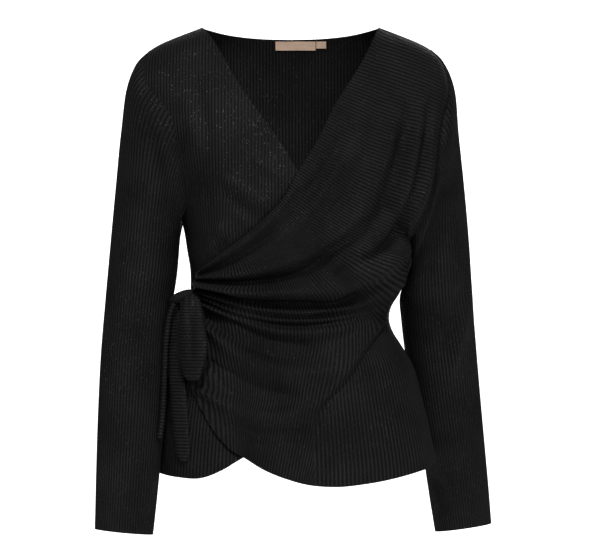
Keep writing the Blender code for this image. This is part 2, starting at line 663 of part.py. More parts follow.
def build_tie():
    shape = bmesh.new()
    bmesh.ops.create_uvsphere(shape, u_segments=16, v_segments=8, radius=0.5)
    bmesh.ops.scale(shape, vec=[value * MM for value in KNOT_SIZE], verts=shape.verts)
    bmesh.ops.rotate(shape, matrix=Matrix.Rotation(math.radians(-14), 3, "Y"), verts=shape.verts)
    bmesh.ops.translate(shape, vec=[value * MM for value in KNOT_AT], verts=shape.verts)
    add_object("tie_knot", shape, knit)
    front = strip_rows(LOOP_FRONT, 8)
    back = strip_rows(LOOP_BACK, 8)
    turn = []
    for angle in np.linspace(math.radians(20), math.radians(160), 5):
        middle_y = (front[-1][1] + back[0][1]) / 2
        half = (back[0][1] - front[-1][1]) / 2
        turn.append((front[-1][0], middle_y - half * math.cos(angle), front[-1][2] - 9 * math.sin(angle),
                     front[-1][3] - 5 * math.sin(angle)))
    strip("tie_loop", None, 0, 1.5, ends=np.concatenate([front, np.array(turn), back]))
    strip("tie_wide_tail", WIDE_TAIL, 14, 1.5)
    curve = bpy.data.curves.new("tie_narrow_tail", "CURVE")
    curve.dimensions = "3D"
    curve.bevel_depth = NARROW_TAIL_RADIUS * MM
    curve.bevel_resolution = 2
    curve.use_fill_caps = True
    line = curve.splines.new("POLY")
    points = strip_rows(NARROW_TAIL, 16)
    line.points.add(len(points) - 1)
    for point, place in zip(line.points, points):
        point.co = (place[0] * MM, place[1] * MM, place[2] * MM, 1)
    curve.materials.append(knit)
    item = bpy.data.objects.new("tie_narrow_tail", curve)
    garment.objects.link(item)


def build_label(name, limits):
    """Thin woven piece that lies on the inside of the back, just under the neck edge."""
    first, last, top, bottom = limits
    shape, across, down = grid_shape(6, 2)
    x = first + (last - first) * across / 6
    z = top + (bottom - top) * down / 2
    on_form = form_point(around_from_x(x, z), z, behind=True)
    outward = form_normal(on_form, behind=True)
    middle = on_form - outward * (WALL / 2 + LABEL_GAP + LABEL_WALL / 2)
    middle[:, 1] += SEAM_GAP
    add_wall(name, shape, middle, outward, LABEL_WALL, satin)


for item in list(bpy.data.objects):
    bpy.data.objects.remove(item, do_unlink=True)
garment = bpy.data.collections.new("wrap_top")
bpy.context.scene.collection.children.link(garment)
knit = material("rib_knit", KNIT_COLOUR, 0.62)
satin = material("label_satin", LABEL_COLOUR, 0.45)
build_back()
build_under_front()
build_wrap_front()
build_sleeve("left", SLEEVE_LEFT, "sleeve_right_arm")
build_sleeve("right", SLEEVE_RIGHT, "sleeve_left_arm")
build_tie()
build_label("label", LABEL)
build_label("size_tab", SIZE_TAB)
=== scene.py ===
# Long-sleeved wrap top in fine rib knit, filled out as worn.
# Lengths in the tables are millimetres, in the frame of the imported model.
import math

import bmesh
import bpy
import numpy as np
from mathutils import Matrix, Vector, kdtree


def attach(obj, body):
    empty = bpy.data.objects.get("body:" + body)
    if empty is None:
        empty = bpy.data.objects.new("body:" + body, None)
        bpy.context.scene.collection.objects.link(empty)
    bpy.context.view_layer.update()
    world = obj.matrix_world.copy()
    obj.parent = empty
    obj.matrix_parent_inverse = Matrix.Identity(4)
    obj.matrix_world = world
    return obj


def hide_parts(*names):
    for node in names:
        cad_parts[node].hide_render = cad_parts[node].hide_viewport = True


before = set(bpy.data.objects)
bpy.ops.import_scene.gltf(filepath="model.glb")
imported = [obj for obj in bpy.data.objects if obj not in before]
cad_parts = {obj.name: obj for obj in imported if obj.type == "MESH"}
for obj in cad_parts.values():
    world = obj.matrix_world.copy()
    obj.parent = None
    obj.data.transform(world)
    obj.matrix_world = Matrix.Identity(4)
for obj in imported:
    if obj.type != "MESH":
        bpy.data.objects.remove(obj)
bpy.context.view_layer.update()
scene = bpy.context.scene
mm = 0.001


# camera: level with the middle of the top, square to its front
cameraSettings = {"place": (0.01235, -4.5, -0.3276), "lens": 207.69, "sensor": 36.0}
cameraData = bpy.data.cameras.new("camera")
cameraData.sensor_width = cameraSettings["sensor"]
cameraData.lens = cameraSettings["lens"]
cameraData.clip_end = 60
cameraItem = bpy.data.objects.new("camera", cameraData)
cameraItem.location = cameraSettings["place"]
cameraItem.rotation_euler = (math.pi / 2, 0, 0)
scene.collection.objects.link(cameraItem)
scene.camera = cameraItem
print("camera placed")


def spline(knots, values, where):
    # a smooth line through known values, held level beyond its ends
    knots = np.asarray(knots, float)
    values = np.asarray(values, float)
    if knots[0] > knots[-1]:
        knots, values = knots[::-1], values[::-1]
    width = np.diff(knots)
    slope = np.diff(values) / width
    tangent = np.empty_like(values)
    tangent[1:-1] = (width[:-1] * slope[1:] + width[1:] * slope[:-1]) / (width[:-1] + width[1:])
    tangent[0] = slope[0]
    tangent[-1] = slope[-1]
    where = np.clip(np.asarray(where, float), knots[0], knots[-1])
    span = np.clip(np.searchsorted(knots, where) - 1, 0, len(width) - 1)
    t = (where - knots[span]) / width[span]
    h = width[span]
    return (values[span] * (1 + 2 * t) * (1 - t) ** 2 + values[span + 1] * t * t * (3 - 2 * t)
            + h * tangent[span] * t * (1 - t) ** 2 - h * tangent[span + 1] * t * t * (1 - t))


def ease(value):
    t = np.clip(value, 0, 1)
    return t * t * (3 - 2 * t)


def unitLength(rows):
    return rows / np.linalg.norm(rows, axis=-1, keepdims=True)


def column(table, index):
    return [row[index] for row in table]


def spread(breaks, counts):
    # shares from the first break to the last, evenly set between two breaks
    rows = [np.linspace(a, b, n + 1)[:-1] for a, b, n in zip(breaks, breaks[1:], counts)]
    return np.concatenate(rows + [np.array([breaks[-1]])])


# the figure form that every panel lies on
formSettings = {
    "roundness": 2.25, "lowest": -612, "normalStep": 1.5,
    # height, half width at -X, half width at +X, depth in front, depth behind
    "sections": (
        (0, 114, 114, 30, 62), (-10, 140, 140, 43, 66), (-22, 168, 168, 54, 70), (-35, 188, 188, 63, 74),
        (-50, 202, 202, 71, 78), (-75, 212, 212, 84, 83), (-100, 208, 208, 94, 87), (-120, 200, 200, 100, 90),
        (-150, 183, 183, 108, 92), (-172, 171, 172, 113, 92), (-200, 159, 163, 117, 90),
        (-225, 150, 158, 116, 88), (-260, 138, 153, 110, 83), (-290, 133, 150, 101, 78),
        (-315, 129, 149.5, 95, 74), (-332, 128.5, 146.5, 92, 71.5), (-346, 129, 140, 90, 70.5),
        (-360, 130, 131, 88, 70), (-376, 134, 127, 87, 71), (-394, 142, 131.5, 90, 74),
        (-411, 151, 142, 94, 78), (-432, 158, 155, 98, 84), (-485, 167, 171, 107, 98),
        (-536, 173, 183, 115, 106), (-561, 175, 188, 118, 108), (-610, 177, 191, 121, 110)),
}
roundness = formSettings["roundness"]


def section(height):
    rows = formSettings["sections"]
    heights = column(rows, 0)
    return [spline(heights, column(rows, index), height) for index in (1, 2, 3, 4)]


def aroundFromX(x, height):
    # a place on the form is kept as its way round a level section and its height
    left, right, _, _ = section(height)
    half = np.where(x < 0, left, right)
    return np.sign(x) * half * np.arcsin(np.clip(np.abs(x) / half, 0, 1) ** (roundness / 2))


def formPoint(around, height, behind=False):
    left, right, front, back = section(height)
    half = np.where(around < 0, left, right)
    angle = np.clip(np.abs(around) / half, 0, math.pi / 2)
    x = np.sign(around) * half * np.sin(angle) ** (2 / roundness)
    depth = back if behind else -front
    y = depth * np.clip(np.cos(angle), 0, 1) ** (2 / roundness)
    return np.stack([x, y, np.asarray(height, float) + 0 * x], -1)


def formNormal(points, behind=False):
    x, y, z = points[..., 0], points[..., 1], points[..., 2]
    level, reach = [], formSettings["normalStep"]
    for step in (-reach, reach):
        left, right, front, back = section(np.clip(z + step, formSettings["lowest"], 0))
        half = np.where(x < 0, left, right)
        depth = back if behind else front
        level.append(((np.abs(x) / half) ** roundness + (np.abs(y) / depth) ** roundness) ** (1 / roundness))
    left, right, front, back = section(z)
    half = np.where(x < 0, left, right)
    depth = back if behind else front
    across = np.sign(x) * (np.abs(x) / half) ** (roundness - 1) / half
    along = np.sign(y) * (np.abs(y) / depth) ** (roundness - 1) / depth
    return unitLength(np.stack([across, along, (level[1] - level[0]) / (2 * reach)], -1))


def lineDistance(x, z, points, pieces=60, batch=8000):
    # distance to a drawn line, the share of it that is nearest, and the side of it
    points = np.asarray(points, float)
    length = np.concatenate([[0], np.cumsum(np.linalg.norm(np.diff(points, axis=0), axis=1))])
    where = np.linspace(0, length[-1], pieces)
    line = np.stack([spline(length, points[:, 0], where), spline(length, points[:, 1], where)], -1)
    start, step = line[:-1], np.diff(line, axis=0)
    distance, nearestShare, side = np.empty(len(x)), np.empty(len(x)), np.empty(len(x))
    for first in range(0, len(x), batch):
        part = slice(first, first + batch)
        offset = np.stack([x[part], z[part]], -1)[:, None, :] - start[None]
        share = np.clip((offset * step).sum(-1) / (step * step).sum(-1), 0, 1)
        gap = offset - share[..., None] * step
        gaps = np.linalg.norm(gap, axis=-1)
        nearest = gaps.argmin(1)
        row = np.arange(len(nearest))
        distance[part] = gaps[row, nearest]
        nearestShare[part] = (nearest + share[row, nearest]) / len(step)
        side[part] = np.sign(step[nearest, 0] * gap[row, nearest, 1] - step[nearest, 1] * gap[row, nearest, 0])
    return distance, nearestShare, side


foldSettings = {
    "fade": 0.25, "endHeight": 0.1,       # a free fold dies away over this share of its length at both ends
    "gatheredFade": 0.3, "gatheredWidth": 0.38, "opens": 0.28,      # at the gather it starts narrow and opens
}


def foldHeight(x, z, folds, gathered=None):
    # folds that begin left of gathered run into the gather, and the others fade at both ends
    total = np.zeros_like(x)
    narrow = foldSettings["gatheredWidth"]
    for height, halfWidth, points in folds:
        distance, share, _ = lineDistance(x, z, points)
        if gathered is not None and points[0][0] < gathered:
            fade = ease((1 - share) / foldSettings["gatheredFade"])
            width = halfWidth * (narrow + (1 - narrow) * ease(share / foldSettings["opens"]))
        else:
            fade = ease(np.minimum(share, 1 - share) / foldSettings["fade"] + foldSettings["endHeight"])
            width = halfWidth
        total += height * fade * np.exp(-(distance / width) ** 2)
    return total


def linear(hexColour):
    # sRGB hex to linear colour
    parts = [int(hexColour[i:i + 2], 16) / 255 for i in (1, 3, 5)]
    return tuple(v / 12.92 if v <= 0.04045 else ((v + 0.055) / 1.055) ** 2.4 for v in parts) + (1.0,)


def addNode(tree, kind, links=None, **settings):
    node = tree.nodes.new("ShaderNode" + kind)
    for name, value in settings.items():
        if name.startswith("socket_"):
            key = name[7:]
            key = int(key) if key.isdigit() else key.replace("_", " ")
            node.inputs[key].default_value = value
        else:
            setattr(node, name, value)
    for key, source in (links or {}).items():
        tree.links.new(source, node.inputs[key])
    return node


wallSettings = {
    "wall": 1.5, "ribPitch": 4.3, "sharpAngle": 62, "weld": 0.002,
    "seamGap": 0.25, "wrapSeamGap": 0.6, "sleeveGap": 1.25,      # how far panels stand apart at their seams
    "sideCalm": 24,      # folds fade over this width beside the side seams
}
wall = wallSettings["wall"]
quarterRib = wallSettings["ribPitch"] / 4
knitSettings = {
    # the crown and hollow colours are lit and shaded copies of one black yarn: painted light on the rib crowns,
    # painted shade in the hollows
    "litCrownColour": "#1B1B1B", "shadedHollowColour": "#030303", "roughness": 0.68, "gloss": 0.13, "ior": 1.36,
    "sheen": 0.008, "sheenRoughness": 0.45, "sheenTint": "#CFCFCD",
    "ribDepth": 0.68,                            # hollow to crown
    "stitchHeight": 1.3, "stitchDepth": 0.06,    # one stitch of the yarn, along a rib
    "fuzzPerMetre": 900.0, "fuzzDepth": 0.14,    # fibre ends about 1.1 mm apart, coarser than real ones to show
    "swellPerMetre": 55.0, "swellDepth": 0.25,   # the knit's own unevenness, about 18 mm across
    "mottlePerMetre": 18.0,
    # flakes of the metallic yarn, drawn coarser than they are so that they show
    "speckSpacing": 1.45, "speckStretch": 2.0, "speckSize": 0.22, "speckShare": 0.46,
    "speckColour": "#484846", "speckRoughness": 0.42,
}


def ribWave(tree, coordinate):
    # a rounded rib and a narrower hollow for each whole number of the coordinate
    turn = addNode(tree, "Math", {0: coordinate}, operation="MULTIPLY", socket_1=2 * math.pi)
    return addNode(tree, "Math", {0: turn.outputs[0]}, operation="COSINE").outputs[0]


def makeKnit(name, drawnRibs=False):
    # polyester rib knit with a fine metallic yarn: matt black cloth, small bright specks on the crowns
    made = bpy.data.materials.new(name)
    made.use_nodes = True
    tree = made.node_tree
    surface = tree.nodes["Principled BSDF"]
    place = addNode(tree, "TexCoord").outputs["Object"]
    knit = addNode(tree, "Attribute", attribute_name="knit")
    parts = addNode(tree, "SeparateXYZ", {0: knit.outputs["Vector"]})
    ribs, along = parts.outputs[0], parts.outputs[1]
    crown = ribWave(tree, ribs)
    if drawnRibs:
        sideRibs = ribWave(tree, parts.outputs[2])
        share = addNode(tree, "Attribute", attribute_name="plainSide")
        crown = addNode(tree, "Mix", {0: share.outputs["Fac"], 2: crown, 3: sideRibs}).outputs[0]
    # stitches: short bars across each rib, bent by the rib so that they read as small arrowheads
    bend = addNode(tree, "Math", {0: crown}, operation="MULTIPLY", socket_1=0.9)
    step = addNode(tree, "Math", {0: along}, operation="MULTIPLY",
                   socket_1=2 * math.pi / knitSettings["stitchHeight"])
    bent = addNode(tree, "Math", {0: step.outputs[0], 1: bend.outputs[0]}, operation="ADD")
    stitch = addNode(tree, "Math", {0: bent.outputs[0]}, operation="SINE")
    fuzz = addNode(tree, "TexNoise", {"Vector": place}, socket_Detail=3.0,
                   socket_Scale=knitSettings["fuzzPerMetre"])
    swell = addNode(tree, "TexNoise", {"Vector": place}, socket_Detail=2.0,
                    socket_Scale=knitSettings["swellPerMetre"])
    height = addNode(tree, "Math", {0: stitch.outputs[0]}, operation="MULTIPLY",
                     socket_1=knitSettings["stitchDepth"])
    layers = [(fuzz.outputs[0], knitSettings["fuzzDepth"]), (swell.outputs[0], knitSettings["swellDepth"])]
    if drawnRibs:
        layers.append((crown, knitSettings["ribDepth"] / 2))
    for source, depth in layers:
        height = addNode(tree, "Math", {0: source, 2: height.outputs[0]}, operation="MULTIPLY_ADD",
                         socket_1=depth)
    bump = addNode(tree, "Bump", {"Height": height.outputs[0]}, socket_Distance=mm, socket_Strength=1.0)
    tree.links.new(bump.outputs[0], surface.inputs["Normal"])
    # metallic yarn: one small flake in some cells of a fine scatter
    spacing = knitSettings["speckSpacing"]
    cellsPerUnit = (wallSettings["ribPitch"] / spacing, 1 / (spacing * knitSettings["speckStretch"]), 0)
    scatter = knit.outputs["Vector"]
    if drawnRibs:
        cellsPerUnit = (1 / (spacing * mm),) * 3
        scatter = place
    scaled = addNode(tree, "VectorMath", {0: scatter}, operation="MULTIPLY", socket_1=cellsPerUnit)
    cells = addNode(tree, "TexVoronoi", {"Vector": scaled.outputs[0]}, socket_Scale=1.0)
    near = addNode(tree, "Math", {0: cells.outputs["Distance"]}, operation="LESS_THAN",
                   socket_1=knitSettings["speckSize"])
    chance = addNode(tree, "SeparateColor", {0: cells.outputs["Color"]})
    chosen = addNode(tree, "Math", {0: chance.outputs[0]}, operation="LESS_THAN",
                     socket_1=knitSettings["speckShare"])
    fleck = addNode(tree, "Math", {0: near.outputs[0], 1: chosen.outputs[0]}, operation="MULTIPLY")
    bright = addNode(tree, "Math", {0: fleck.outputs[0], 1: chance.outputs[1]}, operation="MULTIPLY")
    # painted shade and light: the hollows between the ribs are coloured near black as if in shade and the crowns
    # lighter as if lit, and the crowns are mottled
    shade = addNode(tree, "TexNoise", {"Vector": place}, socket_Detail=2.0,
                    socket_Scale=knitSettings["mottlePerMetre"])
    paintedRibShade = addNode(tree, "MapRange", {0: crown}, socket_1=-0.8, socket_2=1.0, socket_3=0.25, socket_4=1.6)
    mottleAndRibShade = addNode(tree, "Math", {0: shade.outputs[0], 1: paintedRibShade.outputs[0]}, operation="MULTIPLY_ADD",
                      socket_2=-0.12)
    base = addNode(tree, "Mix", {0: mottleAndRibShade.outputs[0]}, data_type="RGBA")
    base.inputs[6].default_value = linear(knitSettings["shadedHollowColour"])
    base.inputs[7].default_value = linear(knitSettings["litCrownColour"])
    colour = addNode(tree, "Mix", {0: bright.outputs[0], 6: base.outputs[2]}, data_type="RGBA")
    colour.inputs[7].default_value = linear(knitSettings["speckColour"])
    tree.links.new(colour.outputs[2], surface.inputs["Base Color"])
    tree.links.new(fleck.outputs[0], surface.inputs["Metallic"])
    rough = addNode(tree, "MapRange", {0: fleck.outputs[0]}, socket_3=knitSettings["roughness"],
                    socket_4=knitSettings["speckRoughness"])
    tree.links.new(rough.outputs[0], surface.inputs["Roughness"])
    surface.inputs["Sheen Weight"].default_value = knitSettings["sheen"]
    surface.inputs["Sheen Roughness"].default_value = knitSettings["sheenRoughness"]
    surface.inputs["Sheen Tint"].default_value = linear(knitSettings["sheenTint"])
    surface.inputs["Specular IOR Level"].default_value = knitSettings["gloss"]
    surface.inputs["IOR"].default_value = knitSettings["ior"]
    return made


satinSettings = {
    "darkColour": "#A38A77", "lightColour": "#B19885", "roughness": 0.42, "sheen": 0.15,
    "threadSpacing": 0.8, "threadDepth": 0.05,       # coarser than real threads, to show
    "waver": 0.6, "cloudPerMetre": 120.0,
}


def makeSatin(name):
    # woven satin ribbon: smooth, with a soft gloss that runs across its fine threads
    made = bpy.data.materials.new(name)
    made.use_nodes = True
    tree = made.node_tree
    surface = tree.nodes["Principled BSDF"]
    place = addNode(tree, "TexCoord").outputs["Object"]
    threads = addNode(tree, "TexWave", {"Vector": place}, wave_type="BANDS", bands_direction="Z",
                      socket_Scale=1000 / satinSettings["threadSpacing"] / 6.28,
                      socket_Distortion=satinSettings["waver"])
    bump = addNode(tree, "Bump", {"Height": threads.outputs["Fac"]},
                   socket_Distance=satinSettings["threadDepth"] * mm)
    tree.links.new(bump.outputs[0], surface.inputs["Normal"])
    cloud = addNode(tree, "TexNoise", {"Vector": place}, socket_Scale=satinSettings["cloudPerMetre"])
    colour = addNode(tree, "Mix", {0: cloud.outputs[0]}, data_type="RGBA")
    colour.inputs[6].default_value = linear(satinSettings["darkColour"])
    colour.inputs[7].default_value = linear(satinSettings["lightColour"])
    tree.links.new(colour.outputs[2], surface.inputs["Base Color"])
    surface.inputs["Roughness"].default_value = satinSettings["roughness"]
    surface.inputs["Sheen Weight"].default_value = satinSettings["sheen"]
    return made


ribKnit = makeKnit("blackRibKnit")
drapedKnit = makeKnit("blackRibKnitDraped", drawnRibs=True)
satinRibbon = makeSatin("beigeSatinRibbon")
print("materials made")


def gridOf(columns, rows):
    # a flat grid of quads, with the column and the row of each vertex
    shape = bmesh.new()
    bmesh.ops.create_grid(shape, x_segments=columns, y_segments=rows, size=0.5)
    shape.verts.ensure_lookup_table()
    flat = np.array([vertex.co[:2] for vertex in shape.verts]) + 0.5
    return shape, np.rint(flat[:, 0] * columns).astype(int), np.rint(flat[:, 1] * rows).astype(int)


def pieceFrom(name, shape, look, node):
    mesh = bpy.data.meshes.new(name)
    shape.to_mesh(mesh)
    shape.free()
    mesh.shade_smooth()
    mesh.set_sharp_from_angle(angle=math.radians(wallSettings["sharpAngle"]))
    mesh.materials.append(look)
    item = bpy.data.objects.new(name, mesh)
    scene.collection.objects.link(item)
    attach(item, "root")
    if node:
        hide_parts(node)
    return item


def makeWall(grids, wall):
    # grids: shape, middle points, outward directions, ribs and lengths for the pattern, share of the plain side
    whole = bmesh.new()
    for shape, middle, outward, knit, plain in grids:
        direction = shape.verts.layers.float_vector.new("outward")
        pattern = shape.verts.layers.float_vector.new("knit")
        plainSide = shape.verts.layers.float.new("plainSide")
        top = (middle + outward * wall / 2) * mm
        down = -outward * wall * mm
        for vertex, place, drop, stitch, share in zip(shape.verts, top.tolist(), down.tolist(), knit.tolist(),
                                                      plain.tolist()):
            vertex.co = place
            vertex[direction] = drop
            vertex[pattern] = stitch
            vertex[plainSide] = share
        part = bpy.data.meshes.new("part")
        shape.to_mesh(part)
        shape.free()
        whole.from_mesh(part)
        bpy.data.meshes.remove(part)
    bmesh.ops.remove_doubles(whole, verts=whole.verts, dist=wallSettings["weld"] * mm)
    direction = whole.verts.layers.float_vector["outward"]
    extruded = bmesh.ops.extrude_face_region(whole, geom=whole.faces[:], use_keep_orig=True)
    for item in extruded["geom"]:
        if isinstance(item, bmesh.types.BMVert):
            item.co += item[direction]
    bmesh.ops.recalc_face_normals(whole, faces=whole.faces)
    return whole


def ribHeight(index):
    return knitSettings["ribDepth"] / 2 * np.cos(index * math.pi / 2)


# Length along the level section from the centre line, for panels whose ribs run straight down.
girthStep = 2.0
girthHeights = np.arange(0, formSettings["lowest"] - 1, -girthStep)
girthShares = np.linspace(0, 1, 90)
girthBend = roundness / 2       # sets the shares closer together where the section turns


def girthTable(side, behind):
    left, right, front, back = section(girthHeights)
    half = left if side < 0 else right
    depth = back if behind else front
    angle = math.pi / 2 * girthShares ** girthBend
    x = half[:, None] * np.sin(angle) ** (2 / roundness)
    y = depth[:, None] * np.clip(np.cos(angle), 0, 1) ** (2 / roundness)
    steps = np.hypot(np.diff(x, axis=1), np.diff(y, axis=1))
    return np.concatenate([np.zeros((len(half), 1)), np.cumsum(steps, 1)], 1)


def girthRows(table, height):
    where = np.clip(-np.asarray(height, float) / girthStep, 0, len(table) - 1.001)
    low = where.astype(int)
    part = (where - low)[:, None]
    return table[low] * (1 - part) + table[low + 1] * part


def aroundFromArc(table, side, arc, height):
    rows = girthRows(table, height)
    cell = np.clip((rows < arc[:, None]).sum(1) - 1, 0, rows.shape[1] - 2)
    row = np.arange(len(arc))
    part = np.clip((arc - rows[row, cell]) / (rows[row, cell + 1] - rows[row, cell]), 0, 1)
    share = (cell + part) / (rows.shape[1] - 1)
    left, right, _, _ = section(height)
    half = left if side < 0 else right
    return side * half * math.pi / 2 * share ** girthBend


def arcFromX(table, side, x, height):
    x, height = np.atleast_1d(np.asarray(x, float)), np.atleast_1d(np.asarray(height, float))
    left, right, _, _ = section(height)
    half = left if side < 0 else right
    angle = np.arcsin(np.clip(np.abs(x) / half, 0, 1) ** (roundness / 2))
    where = (angle / (math.pi / 2)) ** (1 / girthBend) * (table.shape[1] - 1)
    cell = np.clip(where.astype(int), 0, table.shape[1] - 2)
    rows = girthRows(table, height)
    row = np.arange(len(x))
    part = where - cell
    return rows[row, cell] * (1 - part) + rows[row, cell + 1] * part


def ribArc(table, full, start, height, begins):
    # how far from the centre line a rib runs at a height: from where it begins to, it keeps its share of the girth
    total = girthRows(table, height)[:, -1] / full
    below = ease((begins - height) / 60)
    share = below + (1 - below) * np.clip(start / full, 0, 1) ** 4
    return start * (1 + (total - 1) * share)


def heightAt(arcs, heights, where):
    order = np.argsort(arcs)
    return np.interp(where, np.asarray(arcs)[order], np.asarray(heights)[order])


armholeRows = (
    # share of the seam from shoulder to underarm, x, height
    (0.0, -181.5, -29), (0.16, -187, -48), (0.24, -186, -66), (0.32, -181, -81), (0.40, -170, -93),
    (0.50, -156, -112), (0.59, -146, -134), (0.68, -141, -158), (0.78, -136, -182), (0.89, -131, -212),
    (0.96, -133, -236))
backRightArmhole = tuple((s, -x, z) for s, x, z in armholeRows[:9]) + (
    (0.86, 139, -214), (0.93, 144.5, -247), (0.97, 148, -269))
shoulderTip = -29
rightUnderarm, leftUnderarm = -250, -288


class PanelSide:
    # One half of a panel with ribs that run straight down and end at its cut edges.
    def __init__(self, side, behind, underarm, armhole, topEdge, hemEdge):
        self.side, self.behind, self.underarm = side, behind, underarm
        self.table = girthTable(side, behind)
        self.fullArc = float(girthRows(self.table, [underarm])[0, -1])
        left, right, _, _ = section(np.array([underarm]))
        rows = list(armhole) + [(1.0, side * float((left if side < 0 else right)[0]), underarm)]
        share = np.linspace(0, 1, 90)
        x = spline(column(rows, 0), column(rows, 1), share)
        z = spline(column(rows, 0), column(rows, 2), share)
        arcs = arcFromX(self.table, side, x, z)
        arcs[0] = girthRows(self.table, [shoulderTip])[0, -1]
        arcs[-1] = self.fullArc
        turn = 8 + int(np.argmin(arcs[8:]))
        self.upper = (np.minimum.accumulate(arcs[:turn + 1]), z[:turn + 1])
        self.lower = (np.maximum.accumulate(arcs[turn:]), z[turn:])
        self.inner, self.innerHeight, self.tip = float(arcs[turn]), float(z[turn]), float(arcs[0])
        seamHeights = np.linspace(0, shoulderTip, 30)
        seamArcs = girthRows(self.table, seamHeights)[:, -1]
        edgeX, edgeZ = topEdge
        edgeArcs = arcFromX(self.table, side, edgeX, edgeZ)
        self.top = (np.concatenate([edgeArcs, seamArcs[1:]]), np.concatenate([edgeZ, seamHeights[1:]]))
        self.hemEdge = hemEdge

    def arcOf(self, start, height):
        arc = ribArc(self.table, self.fullArc, start, height, self.underarm)
        return np.where(height < self.underarm, arc, start)

    def hemHeight(self, start):
        height = np.full(len(start), -560.0)
        for _ in range(4):
            around = aroundFromArc(self.table, self.side, self.arcOf(start, height), height)
            x = formPoint(around, height, self.behind)[:, 0]
            height = spline(column(self.hemEdge, 1), column(self.hemEdge, 2), x)
        return height

    def grid(self, kind, counts, firstIndex):
        # kind: main runs from the top edge to the hem, wing ends at the armhole, lower starts at it
        upperRows, lowerRows = counts
        starts = {"main": (0, self.inner), "wing": (self.inner, self.tip), "lower": (self.inner, self.fullArc)}
        a, b = starts[kind]
        number = max(4, int(round((b - a) / quarterRib)))
        rows = {"main": upperRows + lowerRows, "wing": upperRows, "lower": lowerRows}[kind]
        shape, across, down = gridOf(number, rows)
        start = a + (b - a) * np.arange(number + 1) / number
        top = heightAt(*self.top, start)
        middle = np.full(number + 1, self.innerHeight)
        hem = self.hemHeight(np.minimum(start, self.fullArc))
        if kind == "wing":
            middle = heightAt(*self.upper, start)
        if kind == "lower":
            middle = heightAt(*self.lower, start)
            height = middle[across] + (hem - middle)[across] * down / lowerRows
        else:
            over = np.minimum(down, upperRows) / upperRows
            under = np.maximum(down - upperRows, 0) / lowerRows
            height = top[across] + (middle - top)[across] * over + (hem - middle)[across] * under
        arc = self.arcOf(start[across], height)
        around = aroundFromArc(self.table, self.side, arc, height)
        points = formPoint(around, height, self.behind)
        index = (firstIndex + across) * self.side
        return shape, points, formNormal(points, self.behind), index, firstIndex + number


def ribbedGrids(panelSides, counts, settle):
    grids = []
    for side in panelSides:
        after = 0
        for kind in ("main", "wing", "lower"):
            first = 0 if kind == "main" else after
            shape, points, outward, index, last = side.grid(kind, counts, first)
            if kind == "main":
                after = last
            points = settle(points, outward)
            points = points + outward * ribHeight(index)[:, None]
            knit = np.stack([index / 4, points[:, 2], 0 * index], -1)
            grids.append((shape, points, outward, knit, np.zeros(len(points))))
    return grids


# back, seen through the neck
backSettings = {
    "flat": (0.50, 0.62), "area": 0.235, "rows": (34, 52),
    "neck": ((0, -11), (40, -10), (82, -6), (114, 0)),     # x, height
    "hem": ((0.0, -175.3, -574), (0.15, -130, -563), (0.32, -62, -553), (0.5, 0, -551), (0.68, 62, -553),
            (0.85, 132, -557), (1.0, 188, -562)),
    # height, half width, points: shallow folds where the back hollows above the waist
    "folds": ((2.2, 12, ((-118, -318), (-60, -330), (0, -334), (60, -332), (122, -320))),
              (-2.0, 13, ((-112, -345), (-50, -356), (20, -356), (112, -343))),
              (1.8, 12, ((-104, -290), (-66, -302), (-30, -306))),
              (1.6, 11, ((40, -300), (80, -298), (128, -284))),
              (-1.6, 12, ((-120, -210), (-100, -250), (-84, -296))),
              (1.8, 11, ((142, -190), (122, -236), (98, -270))),
              (-1.8, 14, ((-60, -400), (-44, -460), (-40, -530))),
              (1.8, 14, ((40, -400), (58, -460), (64, -535))),
              (1.5, 10, ((-150, -70), (-120, -120), (-112, -170)))),
}
neckX = np.linspace(0, 114, 40)
neckZ = spline(column(backSettings["neck"], 0), column(backSettings["neck"], 1), neckX)
backSides = [
    PanelSide(-1, True, rightUnderarm, armholeRows, (-neckX, neckZ), backSettings["hem"]),
    PanelSide(1, True, leftUnderarm, backRightArmhole, (neckX, neckZ), backSettings["hem"]),
]


def settleBack(points, outward):
    x, z = points[:, 0], points[:, 2]
    calm = ease((section(z)[1] - np.abs(x)) / wallSettings["sideCalm"])
    points = points + outward * (foldHeight(x, z, backSettings["folds"]) * calm)[:, None]
    points[:, 1] += wallSettings["seamGap"]
    return points


backPanel = pieceFrom("backPanel", makeWall(ribbedGrids(backSides, backSettings["rows"], settleBack), wall),
                      ribKnit, "back")
print("back made")


# wearer's right front, which goes under
underSettings = {
    "flat": (0.46, 0.60), "area": 0.155, "rows": (28, 50),
    "drop": -7.5, "dropFrom": -5, "dropOver": 32,      # it stands back beneath the wrap
    "hiddenRibs": -200,      # below this the hidden part's ribs keep their share of the girth
    "neck": ((-114, 0), (-104, -12), (-92, -31), (-70, -70), (-44, -109), (-14, -150), (10, -191),
             (52, -245), (96, -296), (142, -335)),
    "hem": ((0.0, -175.3, -574), (0.03, -168, -576), (0.10, -140, -580), (0.18, -115, -580),
            (0.24, -99, -575), (0.30, -85, -568), (0.36, -70, -559), (0.42, -59, -552.5),
            (0.55, -22, -530), (0.72, 36, -489), (0.88, 92, -446), (1.0, 140, -409)),
    "folds": ((5.4, 6.5, ((-92, -196), (-62, -214), (-24, -238))),
              (2.8, 7, ((-52, -168), (-28, -186), (-4, -206))),
              (-5.0, 6.5, ((-92, -212), (-66, -231), (-40, -252))),
              (4.2, 8, ((-98, -256), (-66, -278))),
              (3.0, 6, ((-108, -296), (-90, -262), (-76, -246))),
              (-3.0, 5, ((-98, -300), (-80, -276), (-62, -262))),
              (-2.6, 10, ((-128, -60), (-112, -110), (-104, -160))),
              (2.2, 10, ((-140, -90), (-124, -130), (-116, -180)))),
    "creaseNearHem": ((-1.6, 7, ((-89, -572), (-82, -566), (-76, -559))),
                      (1.4, 9, ((-150, -470), (-142, -520), (-146, -565)))),
}
